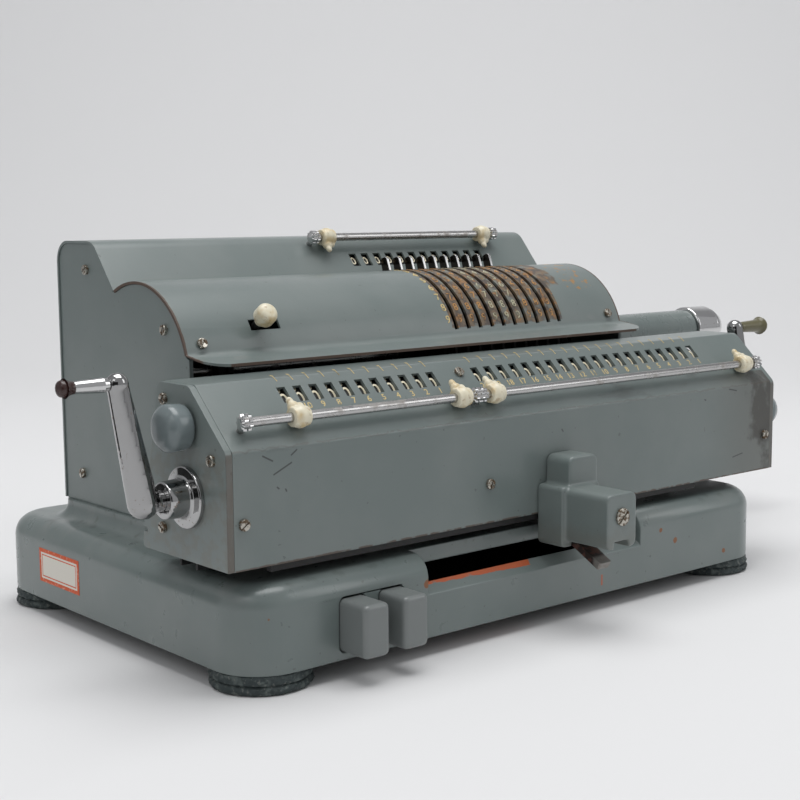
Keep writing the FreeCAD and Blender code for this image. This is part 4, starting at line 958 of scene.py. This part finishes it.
POINTER = pointer_mesh()
POINTER_ROWS = [("counter", FRONT_ROD, 52), ("result", FRONT_ROD, 52), ("check", REAR_ROD, 232)]
for row, axis, lean in POINTER_ROWS:
    for k in (1, 2):
        node = f"{row}_pointer_{k}"
        box = box_of(node)
        place = Vector(((box[0].x + box[4].x) / 2, *axis)) / 1000
        data = POINTER.copy()
        data.transform(Matrix.Translation(place) @ Matrix.Rotation(math.radians(lean), 4, "X"))
        data.polygons.foreach_set("use_smooth", [True] * len(data.polygons))
        show(bpy.data.objects.new(node + "_finished", data), node, node)


# --- Clearing cranks, knobs and flanges -----------------------------------------------------
# Club-shaped arms in pitted chrome whose colour is lowered as a painted dark reflection. The left
# one's handle is a bare rod with a dark red-brown end, and the right one's handle is olive. The
# grey knob and cap are smooth.

# Grey 0.36 lowers the chrome's colour: a painted dark reflection, on top of its real pitting.
PITTED_SHADED_CHROME = chrome("pitted chrome with painted dark reflection", 0.9, 0.36)
for label in ("counter", "result"):
    cast(f"{label}_crank_arm", PITTED_SHADED_CHROME, 0.4, 26)
BROWN_END = -208.5


def rod_handle():
    metal = (0.58, 0.58, 0.58)
    finish = Finish("rod handle with a brown end", metal)
    end = finish.smooth(BROWN_END - finish.x, 0, 0.3)
    finish.set(base_color=finish.mix(end, metal, (0.035, 0.015, 0.013)), metallic=1 - end,
               roughness=0.1 + 0.15 * end)
    return finish.material


dressed("counter_crank_handle", rod_handle(), edge=0.2)
OLIVE = Finish("olive plastic", (0.115, 0.105, 0.055), roughness=0.3).material
dressed("result_crank_handle", OLIVE, edge=0.2)
KNOB = Finish("grey knob", (0.150, 0.180, 0.185), roughness=0.20).material


KNOB_SHARE = 0.80


def short_knob(mesh):
    """Shortens the end knob towards the carriage, to a share of its CAD length."""
    root = max(vertex.co.x for vertex in mesh.verts)
    for vertex in mesh.verts:
        vertex.co.x = root + (vertex.co.x - root) * KNOB_SHARE


cast("counter_knob", KNOB, 0.5, 44, short_knob)
cast("result_cap", KNOB, 0.5, 12)
dressed("crank_flanges", chrome("flange chrome", 1.0, 0.42), edge=0.2)


# --- Handle casting and release lever -------------------------------------------------------
# Cast block with softened edges, its upward faces paler as a painted highlight, and stained below.
# The lever below it is worn to dark brown, with a bare tip.

HANDLE_STAIN, BARE_TIP = 46, -120.5


def handle_marks(finish, colour):
    ragged = finish.noise(4, 4, seed=101.0)
    stain = finish.smooth(HANDLE_STAIN - finish.z + 10 * ragged, 0, 8)
    # Faces that look up are mixed towards the paler enamel: a painted highlight from the light
    # above.
    colour = finish.mix(finish.smooth(finish.normal("Z"), 0.6, 0.95) * 0.5, colour, CLOUDED)
    return finish.mix(stain * 0.3, colour, (0.12, 0.11, 0.09)), stain * 0.2


cast("handle_casting", enamel("enamel of the handle", handle_marks, 0.24), 0.5, 16)


def worn_lever():
    finish = Finish("worn brown lever", (0.03, 0.02, 0.018), metallic=0.3)
    tip = finish.smooth(BARE_TIP - finish.y, 0, 2.0)
    rust = finish.smooth(finish.noise(2.5, 5, seed=111.0), 0.48, 0.6)
    colour = finish.mix(rust, (0.025, 0.018, 0.016), (0.095, 0.045, 0.035))
    finish.set(base_color=finish.mix(tip * 0.8, colour, (0.24, 0.23, 0.21)),
               roughness=0.35 + 0.3 * rust)
    return finish.material


dressed("release_lever", worn_lever(), edge=0.3)
dressed("carriage_screws", SCREW, edge=0.12, reshape=small_heads)


# --- Step keys ------------------------------------------------------------------------------
# Two rounded grey keys in the front of the base, a little shinier than the enamel.

KEY = Finish("grey keys", (0.165, 0.180, 0.178), roughness=0.3)
KEY.bump(KEY.noise(2.5, 3), 0.05, 0.0002)
for k in (1, 2):
    cast(f"step_key_{k}", KEY.material, 0.5, 14)


# --- Room -----------------------------------------------------------------------------------
# The object stands on a pale sheet that sweeps up behind it, under a large soft light from above
# and weaker ones from both sides. Black cards, seen only in the chrome, stand on the left. The
# camera stands where the photograph's did. Lengths here are in metres.

CAMERA = {"place": (-0.4643, -0.5520, 0.1880), "yaw": 40.353, "pitch": 7.374, "roll": -0.4135,
          "focus_pixels": 1465.92, "picture_pixels": 800, "sensor": 36}
SWEEP = {"near": -4.0, "bend": 0.9, "radius": 0.9, "top": 4.5, "half_width": 5}

scene = bpy.context.scene
sweep = bmesh.new()
rows = [(SWEEP["near"], 0.0), (SWEEP["bend"], 0.0)]
rows += [(SWEEP["bend"] + SWEEP["radius"] * math.sin(a), SWEEP["radius"] * (1 - math.cos(a)))
         for a in (k * math.pi / 24 for k in range(1, 13))]
rows += [(SWEEP["bend"] + SWEEP["radius"], SWEEP["top"])]
yaw = math.radians(CAMERA["yaw"])
forward = Vector((math.sin(yaw), math.cos(yaw), 0))
across = Vector((math.cos(yaw), -math.sin(yaw), 0))
lines = [[sweep.verts.new(forward * run + across * side + Vector((0, 0, rise)))
          for side in (-SWEEP["half_width"], SWEEP["half_width"])] for run, rise in rows]
for (a, b), (c, e) in zip(lines, lines[1:]):
    sweep.faces.new((a, b, e, c))
paper_mesh = bpy.data.meshes.new("paper_sweep")
sweep.to_mesh(paper_mesh)
paper_mesh.polygons.foreach_set("use_smooth", [True] * len(paper_mesh.polygons))
paper = bpy.data.objects.new("paper sweep", paper_mesh)
scene.collection.objects.link(paper)
paper_mesh.materials.append(Finish("pale paper", (0.70, 0.70, 0.705), roughness=0.9).material)


def soft_light(name, place, target, width, height, power):
    data = bpy.data.lights.new(name, "AREA")
    data.shape = "RECTANGLE"
    data.size = width
    data.size_y = height
    data.energy = power
    lamp = bpy.data.objects.new(name, data)
    lamp.location = place
    lamp.rotation_euler = (Vector(target) - Vector(place)).to_track_quat("-Z", "Y").to_euler()
    scene.collection.objects.link(lamp)


soft_light("top light", (0.1, 0.0, 1.9), (0, 0, 0.05), 1.5, 1.5, 30)
soft_light("left light", (-1.7, -0.6, 1.3), (0, 0, 0.08), 0.8, 1.2, 4)
soft_light("right light", (1.4, -1.5, 1.1), (0, 0, 0.08), 0.7, 1.2, 5)


def dark_card(name, place, width, height):
    """Black card that neither the camera nor the enamel sees, only what reflects sharply."""
    mesh = bmesh.new()
    bmesh.ops.create_grid(mesh, x_segments=1, y_segments=1, size=0.5)
    turn = (Vector((0, 0, 0.1)) - Vector(place)).to_track_quat("Z", "Y").to_matrix().to_4x4()
    size = Matrix.Diagonal((width, height, 1, 1))
    bmesh.ops.transform(mesh, verts=mesh.verts, matrix=Matrix.Translation(place) @ turn @ size)
    card = finished(name, mesh, Finish(name, (0.02, 0.02, 0.02), roughness=0.9).material)
    card.visible_camera = card.visible_diffuse = card.visible_shadow = False


dark_card("card behind the camera", (-1.05, -1.25, 0.35), 1.1, 0.9)
dark_card("card behind on the left", (-0.36, 0.185, 0.075), 0.13, 0.15)
dark_card("card in front on the left", (-0.75, -0.30, 0.20), 0.25, 0.6)
scene.world = scene.world or bpy.data.worlds.new("studio")
scene.world.use_nodes = True
surroundings = scene.world.node_tree.nodes["Background"]
surroundings.inputs["Color"].default_value = (0.94, 0.95, 0.97, 1)
surroundings.inputs["Strength"].default_value = 0.46
scene.view_settings.view_transform = "Standard"

pitch, roll = math.radians(CAMERA["pitch"]), math.radians(CAMERA["roll"])
ahead = forward * math.cos(pitch) + Vector((0, 0, -math.sin(pitch)))
upright = across.cross(ahead)
right = across * math.cos(roll) + upright * math.sin(roll)
up = upright * math.cos(roll) - across * math.sin(roll)
lens = bpy.data.cameras.new("photographer")
lens.sensor_width = CAMERA["sensor"]
lens.lens = CAMERA["focus_pixels"] * CAMERA["sensor"] / CAMERA["picture_pixels"]
lens.clip_start = 0.05
camera = bpy.data.objects.new("photographer", lens)
turned = Matrix((right, up, -ahead)).transposed().to_4x4()
camera.matrix_world = Matrix.Translation(CAMERA["place"]) @ turned
scene.collection.objects.link(camera)
scene.camera = camera
